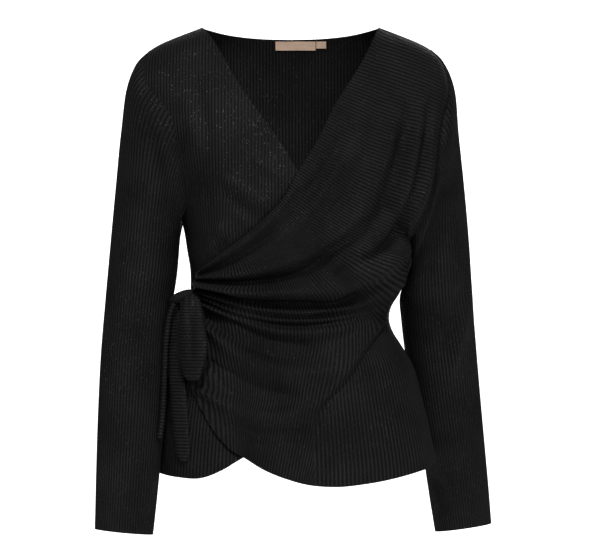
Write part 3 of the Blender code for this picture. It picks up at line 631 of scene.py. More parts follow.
# the wrap's upper edge and its hem: share of the edge, x, height
wrapEdgeRows = (
    (0.20, 114, 0), (0.25, 107, -17), (0.31, 95, -43), (0.37, 80, -69), (0.44, 57, -105), (0.52, 31, -157),
    (0.58, 10, -191), (0.64, -9, -223), (0.70, -30, -246), (0.76, -52, -266), (0.82, -74, -283),
    (0.88, -95, -299), (0.94, -110, -310), (1.0, -121, -318))
wrapHemRows = (
    (0.0, 188, -562), (0.03, 178, -567), (0.08, 158, -573), (0.15, 125, -581), (0.23, 90, -587),
    (0.30, 57, -590), (0.36, 26, -588), (0.42, -2, -581), (0.48, -32, -569), (0.54, -59, -552.5),
    (0.59, -75, -543), (0.64, -91, -526), (0.70, -107, -501), (0.76, -118, -479), (0.82, -126, -457),
    (0.88, -129.5, -420), (0.94, -128.5, -384), (1.0, -123, -352))


def underWrap(x, z):
    # how far inside the wrap's edges a place of the under front lies
    upper = np.where(x > 10, 200.0, spline(column(wrapEdgeRows[6:], 1), column(wrapEdgeRows[6:], 2), x) - z)
    beside = x - spline(column(wrapHemRows[9:], 2), column(wrapHemRows[9:], 1), z)
    return np.minimum(upper, beside)


def settleUnder(points, outward):
    x, z = points[:, 0], points[:, 2]
    folds = foldHeight(x, z, underSettings["folds"] + underSettings["creaseNearHem"])
    calm = ease((section(z)[0] + x) / wallSettings["sideCalm"])
    inside = (underWrap(x, z) - underSettings["dropFrom"]) / underSettings["dropOver"]
    drop = underSettings["drop"] * ease(inside)
    points = points + outward * (folds * calm + drop)[:, None]
    points[:, 1] -= wallSettings["seamGap"]
    return points


def underFarGrid(side, counts, neck, hem):
    # The hidden part right of the centre line: the same ribs, from the neck edge down to the hidden hem.
    table = girthTable(1, False)
    full = float(girthRows(table, [leftUnderarm])[0, -1])
    number = int(round(full / quarterRib))
    shape, across, down = gridOf(number, sum(counts))
    start = full * np.arange(number + 1) / number

    def placeOf(start, height):
        arc = ribArc(table, full, start, height, underSettings["hiddenRibs"])
        return formPoint(aroundFromArc(table, 1, arc, height), height)

    edges = []
    for rows, guess in ((neck, -300.0), (hem, -480.0)):
        height = np.full(len(start), guess)
        for _ in range(12):      # settles where each rib meets the edge
            x = placeOf(start, height)[:, 0]
            height = 0.5 * height + 0.5 * spline(column(rows, 0), column(rows, 1), x)
        edges.append(height)
    top, bottom = edges
    upperRows, lowerRows = counts
    fall = (side.innerHeight - top[0]) * (1 - 0.8 * start / full)
    middle = top + fall
    over = np.minimum(down, upperRows) / upperRows
    under = np.maximum(down - upperRows, 0) / lowerRows
    height = top[across] + fall[across] * over + (bottom - middle)[across] * under
    points = placeOf(start[across], height)
    return shape, points, formNormal(points), across


underNeckX = np.linspace(0, -114, 60)
underNeckZ = spline(column(underSettings["neck"], 0), column(underSettings["neck"], 1), underNeckX)
underSide = PanelSide(-1, False, rightUnderarm, armholeRows, (underNeckX, underNeckZ), underSettings["hem"])
underGrids = ribbedGrids([underSide], underSettings["rows"], settleUnder)
farShape, farPoints, farOutward, farIndex = underFarGrid(
    underSide, underSettings["rows"], underSettings["neck"], [row[1:] for row in underSettings["hem"]])
farPoints = settleUnder(farPoints, farOutward) + farOutward * ribHeight(farIndex)[:, None]
underGrids.append((farShape, farPoints, farOutward,
                   np.stack([farIndex / 4, farPoints[:, 2], 0 * farIndex], -1), np.zeros(len(farPoints))))
underFront = pieceFrom("rightFrontUnder", makeWall(underGrids, wall), ribKnit, "front_under")
print("under front made")


# wearer's left front, draped over and gathered at the waist
wrapSettings = {
    "flat": (0.46, 0.60), "area": 0.165,
    "lift": 4.0, "edgeLift": 4.4,         # how far it stands off the form, and at its free edges
    "boldness": 1.85, "floor": -2.4, "floorSoftness": 1.5,       # folds are scaled, and hollows end softly
    "gathered": -84,      # folds that begin left of this x run into the gather
    "roll": 4.5,
    # share of the armhole edge, how far it hangs out over the sleeve, and how far in front of it
    "overhang": ((0, 0, 0), (0.06, 3, 1.2), (0.14, 6.5, 2.6), (0.24, 7, 3.0), (0.36, 3.5, 2.4), (0.5, 1.5, 1.2),
                 (0.8, 0.5, 0.5), (1, 0, 0)),
    "columns": ((0, 0.08, 0.20, 0.58, 1), (16, 22, 70, 92)),
    "rows": ((0, 0.10, 0.42, 0.52, 0.62, 1), (10, 62, 38, 34, 88)),
    "flow": ((0, 0, 0), (0.1, 0.15, 0.07), (0.2, 0.27, 0.14), (0.3, 0.345, 0.19), (0.42, 0.415, 0.255),
             (0.52, 0.49, 0.315), (0.62, 0.56, 0.39), (0.8, 0.75, 0.66), (1, 1, 1)),
    "gather": ((0.0, -121, -318), (0.2, -122, -325), (0.42, -123.5, -334), (0.52, -124, -341),
               (0.62, -124, -346), (1.0, -123, -352)),
    # share, x, y, height of the edge that hangs over the sleeve
    "drapedArmhole": (
        (0.0, 181.5, 0, -29), (0.12, 192, -20, -52), (0.22, 196, -44, -84), (0.32, 192.5, -58, -112),
        (0.43, 189.5, -66, -142), (0.53, 187, -71, -170), (0.64, 182, -73, -203), (0.74, 174.5, -71, -230),
        (0.82, 165.5, -66, -250), (0.89, 157.5, -57, -265), (0.95, 152.5, -38, -277)),
    # height, half width, points seen in front; a hollow has a negative height
    "folds": (
        (3.4, 5.5, ((-112, -316), (-84, -297), (-61, -281), (-37, -262), (-11, -234), (10, -204), (24, -184))),
        (-2.6, 5.5, ((-112, -320), (-60, -295), (-28, -274), (2, -246), (26, -216))),
        (3.4, 8, ((147, -286), (146, -304), (145, -322), (141, -345))),
        (-4.2, 11, ((28, -273), (71, -227), (95, -181), (112, -130), (118, -80))),
        (4.6, 11, ((-116, -326), (-52, -317), (10, -297), (63, -264), (94, -225), (104, -200), (124, -156),
                   (135, -112), (138, -76))),
        (3.4, 9, ((3, -264), (28, -231), (49, -200), (76, -156))),
        (-2.8, 9, ((8, -238), (34, -204), (56, -168), (70, -130))),
        (-4.4, 7.5, ((-114, -329), (-41, -330), (25, -315), (58, -284), (89, -264), (109, -240), (124, -212),
                   (136, -169), (145, -131), (151, -96), (153, -66))),
        (5.0, 9, ((71, -309), (91, -293), (113, -267), (131, -240), (144, -212), (156, -162), (163, -118),
                  (167, -80))),
        (-4.2, 7, ((71, -296), (102, -297), (122, -275), (137, -245), (153, -213), (166, -162), (173, -122),
                   (176, -88))),
        (10.0, 12, ((-116, -333), (-63, -342), (3, -340), (69, -333), (98, -319), (124, -300), (144, -273),
                   (162, -245), (175, -212), (179, -169), (183, -124), (185, -92))),
        (3.0, 8, ((28, -330), (47, -321), (58, -306), (63, -295))),
        (-5.4, 6.5, ((-114, -339), (-52, -353), (14, -356), (58, -357), (93, -337), (117, -326), (134, -308))),
        (5.2, 7, ((-112, -343), (-74, -354), (-41, -363), (-8, -368), (18, -369), (43, -364), (69, -361),
                  (109, -342), (131, -333))),
        (-3.4, 5, ((-112, -347), (-52, -368), (14, -376), (69, -368), (113, -348))),
        (4.2, 6, ((-112, -349), (-41, -375), (18, -381), (80, -373), (124, -350))),
        (-3.2, 5, ((-110, -354), (-63, -375), (3, -387), (69, -379), (91, -372), (119, -359))),
        (4.6, 8, ((-112, -356), (-74, -375), (-19, -395), (47, -395), (113, -377))),
        (-6.6, 14, ((-104, -372), (-74, -390), (-41, -408), (0, -417), (50, -415))),
        (5.4, 16, ((-105, -391), (-64, -424), (0, -449), (57, -443), (99, -410))),
        (-5.4, 13, ((-100, -436), (-64, -464), (-19, -478), (25, -474))),
        (4.6, 12, ((-111, -470), (-59, -498), (-7, -502), (35, -484))),
        (-4.6, 12, ((-84, -505), (-40, -527), (-3, -528), (28, -514)))),
    # the step down to the plain side, which reaches back into the drape and has a groove at its foot
    "stepHeight": 6.0, "stepReach": 62.0, "stepEdge": 0.8, "footDepth": 2.2, "footPlace": 3.5, "footWidth": 3.0,
    "stepLine": ((126, -368), (119, -381), (111, -393), (91, -421), (72, -448), (49, -476), (35, -495),
                 (31, -518), (30, -539)),
    "plainGirth": 205, "plainFrom": -352, "plainOver": 14,
    "ribLength": 300,
    # course of a few ribs over the drape: number of the rib, then five places along it as x, height
    "ribCourses": (
        (0, 114, 0, 131, -8, 148, -15, 165, -22, 188, -32),
        (13, 90, -58, 116, -66, 143, -75, 170, -84, 205, -98),
        (31, 53, -122, 87, -138, 120, -153, 154, -167, 200, -184),
        (52, 10, -191, 47, -213, 84, -236, 121, -256, 165, -280),
        (69, -25, -237, 18, -266, 55, -292, 92, -318, 140, -352),
        (75, -37, -249, 40, -298, 80, -338, 102, -376, 118, -420),
        (81, -43, -256, 30, -304, 72, -352, 80, -440, 36, -592),
        (89, -49, -261, 12, -320, 44, -384, 38, -452, 10, -594),
        (105, -71, -283, -42, -320, -25, -380, -28, -460, -46, -572),
        (121, -104, -310, -103, -340, -96, -380, -90, -430, -82, -545),
        (127, -123, -316, -123, -335, -124, -352, -128, -400, -130, -440)),
}


def patch(top, bottom, first, last, s, t, reachFirst, flow):
    # fills the space between four edges; the first edge is felt up to a share s of reachFirst
    zero, one = np.zeros(1), np.ones(1)
    w = flow[:, None]
    fade = np.clip(s / reachFirst, 0, 1)
    nearFirst = (1 - 1.5 * fade + 0.5 * fade ** 3)[:, None]
    nearLast = s[:, None]
    middle = (1 - w) * top(s) + w * bottom(s)
    firstLean = first(t) - (1 - w) * top(zero) - w * bottom(zero)
    lastLean = last(t) - (1 - w) * top(one) - w * bottom(one)
    return middle + nearFirst * firstLean + nearLast * lastLean


def drawn(rows):
    # an edge given by rows of share, x, height as it is seen
    def place(share):
        x = spline(column(rows, 0), column(rows, 1), share)
        height = spline(column(rows, 0), column(rows, 2), share)
        return np.stack([aroundFromX(x, height), height], -1)
    return place


def seamEdge(side, rows):
    # an edge that follows the side or shoulder seam
    def place(share):
        height = spline(column(rows, 0), column(rows, 1), share)
        left, right, _, _ = section(height)
        return np.stack([side * (left if side < 0 else right) * math.pi / 2, height], -1)
    return place


def joined(pieces):
    def place(share):
        share = np.asarray(share, float)
        start = 0.0
        result = np.zeros(share.shape + (2,))
        for end, piece in pieces:
            inside = (share >= start - 1e-9) & (share <= end + 1e-9)
            result[inside] = piece(share[inside])
            start = end
        return result
    return place


wrapArmholeShare = 0.42
halfAtUnderarm = float(section(leftUnderarm)[1])
armholeOnForm = drawn([(s, x, z) for s, x, z in (
    (0.0, 181.5, -29), (0.12, 184, -52), (0.22, 178, -84), (0.32, 166, -112), (0.43, 155, -142),
    (0.53, 148, -170), (0.64, 144, -203), (0.74, 143, -230), (0.82, 146, -251), (0.89, 149, -266),
    (0.95, 150.5, -278), (1.0, halfAtUnderarm, leftUnderarm))])
wrapSide = joined((
    (wrapArmholeShare, lambda share: armholeOnForm(share / wrapArmholeShare)),
    (1.0, seamEdge(1, ((wrapArmholeShare, leftUnderarm), (0.62, -372), (1.0, -562)))),
))


def drapedEdge(share):
    rows = list(wrapSettings["drapedArmhole"]) + [(1.0, halfAtUnderarm, 0, leftUnderarm)]
    share = np.asarray(share, float)
    return np.stack([spline(column(rows, 0), column(rows, index), share) for index in (1, 2, 3)], -1)


def drapeRoll(share):
    return wrapSettings["roll"] * ease(share / 0.25) * ease((1 - share) / 0.15)


def stepSide(x, z):
    distance, share, side = lineDistance(x, z, wrapSettings["stepLine"])
    return distance, share, 1 / (1 + np.exp(np.clip(side * distance / wrapSettings["stepEdge"], -30, 30)))


def wrapRelief(x, z, s, t):
    relief = foldHeight(x, z, wrapSettings["folds"], wrapSettings["gathered"]) * wrapSettings["boldness"]
    distance, share, beyond = stepSide(x, z)
    strength = ease(share / 0.15) * (1 - 0.75 * ease((share - 0.55) / 0.45))
    relief += wrapSettings["stepHeight"] * strength * beyond * np.exp(-distance / wrapSettings["stepReach"])
    foot = np.exp(-((distance - wrapSettings["footPlace"]) / wrapSettings["footWidth"]) ** 2) * (1 - beyond)
    relief -= wrapSettings["footDepth"] * strength * foot
    relief = wrapSettings["lift"] + relief * (1 - 0.8 * ease((s - 0.88) / 0.10))      # flatter at the gather
    soft, low = wrapSettings["floorSoftness"], wrapSettings["floor"]
    relief = low + soft * np.logaddexp(0, (relief - low) / soft)
    freeEdge = np.maximum(ease(1 - t / 0.06), ease((t - 0.94) / 0.06)) * ease((s - 0.5) / 0.05)
    relief = np.maximum(relief, wrapSettings["edgeLift"] * freeEdge)
    return relief * (1 - 0.8 * ease((s - 0.95) / 0.05))


def ribNumbers(x, z):
    # the drape's ribs fan out from its upper edge: find the number of the rib that runs through each place
    rows, step, fullLength = wrapSettings["ribCourses"], 0.5, wrapSettings["ribLength"]
    numbers = np.arange(-4, 131.1, step)
    known = column(rows, 0)
    shares = np.linspace(0, 1, 81)
    base = [np.stack([spline(known, column(rows, 1 + 2 * k + axis), numbers) for k in range(5)], 1)
            for axis in (0, 1)]
    for axis in (0, 1):
        first = np.array([rows[1][1 + 2 * k + axis] - rows[0][1 + 2 * k + axis] for k in range(5)]) / rows[1][0]
        below = numbers < 0
        base[axis][below] += first * numbers[below][:, None]
    quarter = np.linspace(0, 1, 5)
    courses = [np.stack([spline(quarter, values, shares) for values in base[axis]]) for axis in (0, 1)]
    slopes = [np.gradient(courses[axis], step, shares[1], axis=(0, 1)) for axis in (0, 1)]
    tree = kdtree.KDTree(courses[0].size)
    for index, (px, pz) in enumerate(zip(courses[0].ravel(), courses[1].ravel())):
        tree.insert((px, pz, 0), index)
    tree.balance()
    found = np.array([tree.find((px, pz, 0))[1] for px, pz in zip(x, z)])
    i, j = np.unravel_index(found, courses[0].shape)
    a, b = slopes[0][0][i, j], slopes[0][1][i, j]
    c, d = slopes[1][0][i, j], slopes[1][1][i, j]
    dx, dz = x - courses[0][i, j], z - courses[1][i, j]
    size = a * d - b * c
    size = np.where(np.abs(size) < 1e-3, 1e-3, size)
    number = numbers[i] + np.clip((d * dx - b * dz) / size, -6, 6)
    length = (shares[j] + np.clip((a * dz - c * dx) / size, -0.05, 0.05)) * fullLength
    return number, length


def makeWrapGrid():
    columns = spread(*wrapSettings["columns"])
    rows = spread(*wrapSettings["rows"])
    shape, across, down = gridOf(len(columns) - 1, len(rows) - 1)
    s, t = columns[across], rows[down]
    top = joined(((0.20, seamEdge(1, ((0, shoulderTip), (0.20, 0)))), (1.0, drawn(wrapEdgeRows))))
    flowRows = wrapSettings["flow"]
    middleFlow = spline(column(flowRows, 0), column(flowRows, 1), t)
    gatherFlow = spline(column(flowRows, 0), column(flowRows, 2), t)
    toMiddle, toGather = ease((s - 0.25) / 0.33), ease((s - 0.55) / 0.27)
    flow = (t * (1 - toMiddle) + middleFlow * toMiddle) * (1 - toGather) + gatherFlow * toGather
    place = patch(top, drawn(wrapHemRows), wrapSide, drawn(wrapSettings["gather"]), s, t,
                  0.30 + 0.22 * ease(t / 0.2), flow)
    middle = formPoint(place[:, 0], place[:, 1])
    outward = formNormal(middle)
    # beside the armhole the cloth hangs out over the sleeve
    inArmhole = t < wrapArmholeShare
    over = np.minimum(t / wrapArmholeShare, 1)
    hang = wrapSettings["overhang"]
    hung = drapedEdge(over)
    hung[:, 0] += spline(column(hang, 0), column(hang, 1), over)
    hung[:, 1] -= spline(column(hang, 0), column(hang, 2), over)
    pull = np.where(inArmhole[:, None], hung - formPoint(*wrapSide(t).T), 0)
    reach = 0.30 - 0.20 * ease((t / wrapArmholeShare - 0.55) / 0.45)
    middle += pull * (1 - ease(s / reach))[:, None]
    middle[:, 1] += np.where(inArmhole, drapeRoll(t / wrapArmholeShare), 0) * (1 - ease(s / 0.02))
    x, z = middle[:, 0].copy(), middle[:, 2].copy()
    sideRamp = 0.07 + 0.09 * np.exp(-((t - wrapArmholeShare + 0.02) / 0.05) ** 2)
    ramp = ease(s / sideRamp) * np.maximum(ease(t / 0.10), ease((s - 0.20) / 0.08))
    middle += outward * (wrapRelief(x, z, s, t) * ramp)[:, None]
    middle[:, 1] -= wallSettings["wrapSeamGap"]
    number, length = ribNumbers(x, z)
    # the plain side has straight ribs, beyond the step and straight down from its lower end
    table = girthTable(1, False)
    sideArc = arcFromX(table, 1, np.maximum(x, 0), z)
    sideRibs = sideArc / girthRows(table, z)[:, -1] * wrapSettings["plainGirth"] / wallSettings["ribPitch"]
    _, _, beyond = stepSide(x, z)
    low = ease((wrapSettings["plainFrom"] - z) / wrapSettings["plainOver"])
    plain = np.clip((1 - beyond) * low * (x > 0), 0, 1)
    footX, footZ = wrapSettings["stepLine"][-1]
    plain = np.where(z < footZ, np.where(x > footX, 1 - beyond, 0.0), plain)
    knit = np.stack([number, length, sideRibs], -1)
    return shape, middle, outward, knit, plain


drapedFront = pieceFrom("leftFrontDraped", makeWall([makeWrapGrid()], wall), drapedKnit, "front_wrap")
print("draped front made")


# sleeves: rings down the arm, from the armhole seam to the cuff
sleeveSettings = {
    "flat": (0.36, 0.66), "area": 0.165, "ribs": 68, "levels": ((0, 1.3, 3, 10), (16, 18, 72)),
    "stations": (0, 0.7, 1.3, 2.0, 3.0, 4.1, 5.2, 6.3, 7.3, 8.3, 9.2, 10.0),      # level of each ring
    "head": ((0.70, 14, 14), (0.38, 24, 28), (0.12, 30, 50)),   # follow, step outward, step down
    # rings: outer x, outer height, inner x, inner height, y in front, y behind
    "right": (
        (-206, -58, -146, -262, -70, 62), (-214, -92, -145.5, -272, -64, 58),
        (-219.5, -140, -145.5, -284, -57, 53), (-226, -205, -146.5, -300, -50, 49),
        (-233, -282, -149, -326, -50, 42), (-239, -354, -154, -362, -56, 30),
        (-244, -424, -158.5, -426, -66, 10), (-246.5, -490, -162, -492, -76, -10),
        (-248, -550, -167, -554, -82, -24), (-249, -602, -172, -608, -84, -32),
        (-250, -647, -177, -654, -84, -34)),
    "left": (
        (206, -58, 153.6, -296, -66, 62), (213, -92, 153.2, -304, -58, 60),
        (217.5, -140, 152.8, -314, -50, 58), (225, -205, 150.4, -328, -44, 58),
        (232, -282, 143.4, -350, -36, 62), (237, -354, 145.2, -376, -22, 72),
        (243.5, -424, 152, -428, 6, 88), (250, -491, 163.5, -493, 26, 100),
        (256, -552, 175.5, -556, 38, 108), (261, -605, 184, -611, 46, 110),
        (264.5, -649.5, 192, -660, 50, 110)),
    "rightFolds": ((4.0, 7, ((-174, -568), (-183, -603), (-188, -630))),
                   (-4.0, 10, ((-178, -140), (-170, -200), (-168, -260))),
                   (3.5, 7, ((-156, -150), (-152, -200), (-158, -250))),
                   (2.4, 9, ((-222, -300), (-200, -330), (-176, -344))),
                   (-2.4, 9, ((-230, -380), (-208, -398), (-180, -404)))),
    "leftFolds": ((5.0, 8, ((238, -318), (228, -372), (212, -436), (203, -470))),
                  (-3.5, 9, ((222, -330), (212, -380), (198, -430))),
                  (-4.0, 7, ((177, -576), (198, -603), (210, -640))),
                  (3.5, 9, ((204, -100), (204, -150), (196, -215))),
                  (-4.0, 10, ((196, -240), (186, -290), (176, -330))),
                  (2.2, 9, ((168, -380), (190, -400), (216, -408)))),
    "behindFolds": ((2.0, 12, ((150, -330), (190, -350), (228, -340))),
                    (-2.0, 11, ((156, -362), (192, -380), (232, -372))),
                    (1.6, 10, ((165, -410), (200, -424), (236, -416)))),
}


def leftSideArmhole(share):
    rows = list(armholeRows) + [(1.0, -float(section(rightUnderarm)[0]), rightUnderarm)]
    return drawn(rows)(share)


def backRightEdge(share):
    return drawn(list(backRightArmhole) + [(1.0, halfAtUnderarm, leftUnderarm)])(share)


def sleeveLoop(name, half):
    # the armhole edge of the panels, and the sleeve's own edge just outside it
    shares = np.linspace(0, 1, half + 1)
    gap = wallSettings["seamGap"]
    if name == "right":
        front = formPoint(*leftSideArmhole(shares).T) - (0, gap, 0)
        behind = formPoint(*leftSideArmhole(shares).T, behind=True) + (0, gap, 0)
        outside = -1
    else:
        front = drapedEdge(shares) - (0, wallSettings["wrapSeamGap"], 0)
        front[:, 1] += drapeRoll(shares)
        behind = formPoint(*backRightEdge(shares).T, behind=True) + (0, gap, 0)
        outside = 1
    seam = np.concatenate([front[::-1], behind[1:]])
    angle = np.linspace(0, 2 * math.pi, len(seam))
    low = (1 + np.cos(angle)) / 2
    loop = seam.copy()
    loop[:, 0] += outside * (wallSettings["sleeveGap"] + 2.0 * low ** 2)
    loop[-1] = loop[0]
    return seam, loop, angle, outside


def makeSleeve(name, node):
    table = sleeveSettings[name]
    half = sleeveSettings["ribs"] * 2
    seam, loop, angle, outside = sleeveLoop(name, half)
    rings = [loop]
    for outerX, outerZ, innerX, innerZ, front, behind in table:
        cosine, sine = np.cos(angle), np.sin(angle)
        rings.append(np.stack([(outerX + innerX) / 2 + (innerX - outerX) / 2 * cosine,
                               (front + behind) / 2 + (front - behind) / 2 * sine,
                               (outerZ + innerZ) / 2 + (innerZ - outerZ) / 2 * cosine], -1))
    low = (1 + np.cos(angle)) / 2
    for number, (follow, out, downBy) in enumerate(sleeveSettings["head"], start=1):
        step = np.stack([outside * out * (1 - 0.7 * low), 0 * low, -downBy * (1 + 0.3 * low)], -1)
        rings[number] = follow * (loop + step) + (1 - follow) * rings[number]
    rings = np.stack(rings)
    stations, levels = sleeveSettings["stations"], spread(*sleeveSettings["levels"])
    shape, across, down = gridOf(len(angle) - 1, len(levels) - 1)
    smooth = np.stack([[spline(stations, rings[:, place, axis], levels) for axis in range(3)]
                       for place in range(len(angle))])
    points = np.transpose(smooth, (2, 0, 1))
    centre = points[:, :-1].mean(1, keepdims=True)
    ahead = np.gradient(points, axis=0)
    roundIt = np.roll(points[:, :-1], -3, 1) - np.roll(points[:, :-1], 3, 1)
    roundIt = np.concatenate([roundIt, roundIt[:, :1]], 1)
    normal = unitLength(np.cross(roundIt, ahead))
    normal *= np.sign((normal * (points - centre)).sum(-1).mean())
    # creases seen in front, and similar ones behind
    flatX, flatZ = points[..., 0].ravel(), points[..., 2].ravel()
    inFront = foldHeight(flatX, flatZ, sleeveSettings[name + "Folds"]).reshape(points.shape[:2])
    behind = foldHeight(np.abs(flatX), flatZ, sleeveSettings["behindFolds"]).reshape(points.shape[:2])
    onward = ease(levels / 1.2)[:, None]
    facing = np.clip(np.sin(angle), 0, 1)[None, :] * onward
    away = np.clip(-np.sin(angle), 0, 1)[None, :] * onward
    lengths = np.concatenate([np.zeros((1, points.shape[1])),
                              np.cumsum(np.linalg.norm(np.diff(points, axis=0), axis=-1), 0)])
    points = points + normal * (inFront * facing + behind * away)[..., None]
    # ribs fade over the first few millimetres at the armhole seam
    ribs = ribHeight(np.arange(len(angle)))[None, :] * ease(levels / 0.15)[:, None]
    points = points + normal * ribs[..., None]
    knit = np.stack([(across / 4), lengths[down, across], 0 * across], -1)
    grid = (shape, points[down, across], normal[down, across], knit, np.zeros(len(across)))
    item = pieceFrom(name + "Sleeve", makeWall([grid], wall), ribKnit, node)
    return seam, loop


rightSeam, rightLoop = makeSleeve("right", "sleeve_right_arm")
leftSeam, leftLoop = makeSleeve("left", "sleeve_left_arm")
print("sleeves made")


# seams: the sewn edges turned inside, which close the small gaps between the panels
seamSettings = {
    "right": (3.0, 1.5), "left": (3.6, 1.5), "straight": (1.3, 1.2),      # across, thickness
    "sides": 10, "inset": 0.35, "beadHeight": 0.10, "beadTurn": 1.9, "stitchLength": 1.3,
    # name, side, first height, last height
    "sideSeams": (("rightSideSeam", -1, -251, -573), ("leftSideSeam", 1, -289, -561)),
    "shoulderSeams": (("rightShoulderSeam", -1), ("leftShoulderSeam", 1)), "shoulder": (-0.4, -28.6),
}


def layOut(shape, place, knit):
    # moves each vertex to its place and gives it its place in the knit
    pattern = shape.verts.layers.float_vector.new("knit")
    for vertex, where, stitch in zip(shape.verts, place.tolist(), knit.tolist()):
        vertex.co = where
        vertex[pattern] = stitch


def closeEnds(shape, weld):
    bmesh.ops.remove_doubles(shape, verts=shape.verts, dist=weld)
    edges = [edge for edge in shape.edges if edge.is_boundary]
    if edges:
        bmesh.ops.holes_fill(shape, edges=edges)
    bmesh.ops.recalc_face_normals(shape, faces=shape.faces)


def makeSeam(name, path, across, thick, closed=False):
    rows = np.asarray(path, float)
    sides = seamSettings["sides"]
    shape, around, row = gridOf(sides, len(rows) - 1)
    if closed:
        ahead = np.roll(rows[:-1], -1, 0) - np.roll(rows[:-1], 1, 0)
        ahead = np.concatenate([ahead, ahead[:1]])
    else:
        ahead = np.gradient(rows, axis=0)
    ahead = unitLength(ahead)
    wide = np.tile([1.0, 0, 0], (len(rows), 1))
    if abs(ahead[:, 0]).max() > 0.97:
        wide = np.tile([0, 1.0, 0], (len(rows), 1))
    wide = unitLength(wide - ahead * (wide * ahead).sum(1)[:, None])
    out = np.cross(wide, ahead)
    turn = around / sides * 2 * math.pi
    bead = 1 + seamSettings["beadHeight"] * np.sin(row * seamSettings["beadTurn"])
    place = (rows[row] + wide[row] * (across / 2 * np.cos(turn) * bead)[:, None]
             + out[row] * (thick / 2 * np.sin(turn) * bead)[:, None]) * mm
    layOut(shape, place, np.stack([around / sides, row * seamSettings["stitchLength"], 0 * row], -1))
    closeEnds(shape, 1e-5)
    pieceFrom(name, shape, ribKnit, None)


def armholeSeam(seam, loop):
    middle = (seam + loop) / 2
    middle[-1] = middle[0]
    inward = middle.mean(0) - middle
    return middle + unitLength(inward) * seamSettings["inset"]


makeSeam("rightArmholeSeam", armholeSeam(rightSeam, rightLoop), *seamSettings["right"], closed=True)
makeSeam("leftArmholeSeam", armholeSeam(leftSeam, leftLoop), *seamSettings["left"], closed=True)
for name, side, first, last in seamSettings["sideSeams"]:
    heights = np.linspace(first, last, 150)
    half = section(heights)[0 if side < 0 else 1]
    makeSeam(name, np.stack([side * (half - 0.2), 0 * heights, heights], -1), *seamSettings["straight"])
for name, side in seamSettings["shoulderSeams"]:
    heights = np.linspace(*seamSettings["shoulder"], 60)
    half = section(heights)[0 if side < 0 else 1]
    makeSeam(name, np.stack([side * half, 0 * heights, heights - 0.2], -1), *seamSettings["straight"])
print("seams made")


# tie at the waist: a knot, one loop and two free ends
tieSettings = {
    "knotPlace": (-138, -50, -348.5), "knotSize": (38, 19, 14.5), "knotTurn": -19,
    # x, y, height of the middle of the strip, and its width
    "loopFront": ((-127, -57, -344, 17), (-127, -66, -354, 26), (-126, -81, -378, 34), (-125, -92, -406, 40.5),
                  (-124.5, -97, -426, 38), (-124.5, -99, -445, 27)),
    "loopBack": ((-124.5, -87, -445, 27), (-124.5, -84, -426, 36), (-125, -78, -406, 38),
                 (-126, -68, -380, 33), (-130, -60, -359, 24), (-133, -56, -350, 15)),
    "loopTurn": 10, "loopGroove": 2.2,      # depth of the round turn below the loop, and of its front's groove
    "wideTail": ((-144, -43.5, -355.2, 9), (-146, -50, -385, 19), (-146.5, -56, -415, 22),
                 (-145.5, -63, -445, 24), (-141.5, -75, -495, 24.5), (-138.6, -82, -530, 23.5),
                 (-136, -87.5, -560, 20.5)),
    "narrowTail": ((-149, -51, -355.8), (-154.5, -54, -371), (-157.5, -55, -388), (-160.5, -57, -420),
                   (-162, -62, -465), (-164, -69, -505), (-167, -74, -531)),
    "narrowRadius": 3.6, "rollGroove": 0.8,      # the rolled edge shows as one long groove
    "wall": 1.6, "tilt": 0.5, "pleat": 0.9, "pleatReach": 34, "across": 20,
}


def stripRows(table, count):
    share = np.linspace(0, 1, len(table))
    where = np.linspace(0, 1, count)
    return np.stack([spline(share, column(table, index), where) for index in range(len(table[0]))], -1)


def evenly(rows, step):
    # the same line with rows a fixed length apart, so that every rib across the strip is alike
    gaps = np.linalg.norm(np.diff(rows[:, :3], axis=0), axis=1)
    length = np.concatenate([[0], np.cumsum(gaps)])
    count = int(round(length[-1] / step))
    where = np.linspace(0, length[-1], count + 1)
    return np.stack([spline(length, rows[:, k], where) for k in range(rows.shape[1])], -1), where


def makeStrip(name, node, rows, edgeRoll, knotEnds, roundTip=0, groove=0):
    # edgeRoll: how far both long edges turn back from the middle, at the start and at the end of the strip
    rows, length = evenly(rows, quarterRib)
    columns = tieSettings["across"]
    shape, across, row = gridOf(columns, len(rows) - 1)
    side = np.sin((across / columns * 2 - 1) * math.pi / 2)
    if roundTip:
        fromTip = np.clip((length[-1] - length) / roundTip, 0.03, 1)
        rows[:, 3] *= np.sqrt(1 - (1 - fromTip) ** 2)
    line = rows[row]
    along = (length / length[-1])[row]
    roll = edgeRoll[0] + (edgeRoll[1] - edgeRoll[0]) * ease((along - 0.42) / 0.16)
    ahead = np.gradient(rows[:, :3], axis=0)[row]
    normal = unitLength(np.cross(ahead, np.tile([1.0, -tieSettings["tilt"], 0], (len(ahead), 1))))
    middle = line[:, :3].copy()
    middle[:, 0] += side * line[:, 3] / 2
    middle[:, 0] -= side * np.abs(side) ** 5 * 1.2
    middle[:, 1] += side ** 4 * roll - side * tieSettings["tilt"] * line[:, 3] / 2
    # pleats pressed in by the knot, which open out along the strip
    near = np.zeros(len(length))
    for end in knotEnds:
        gap = length if end == 0 else length[-1] - length
        near += np.exp(-(gap / tieSettings["pleatReach"]) ** 2)
    pleats = tieSettings["pleat"] * np.cos(side * 3.2 * math.pi) * near[row] * (1 - side ** 2 * 0.5)
    ribs = ribHeight(row) * 0.8 * ease((1 - np.abs(side)) / 0.12)
    middle += normal * (pleats + ribs)[:, None]
    shown = ease((along - 0.08) / 0.12) * ease((0.44 - along) / 0.08)
    middle[:, 1] += groove * np.exp(-((side + 0.05) / 0.2) ** 2) * shown
    knit = np.stack([row / 4, side * line[:, 3] / 2, 0 * row], -1)
    shape = makeWall([(shape, middle, normal, knit, np.zeros(len(row)))], tieSettings["wall"])
    item = pieceFrom(name, shape, ribKnit, node)


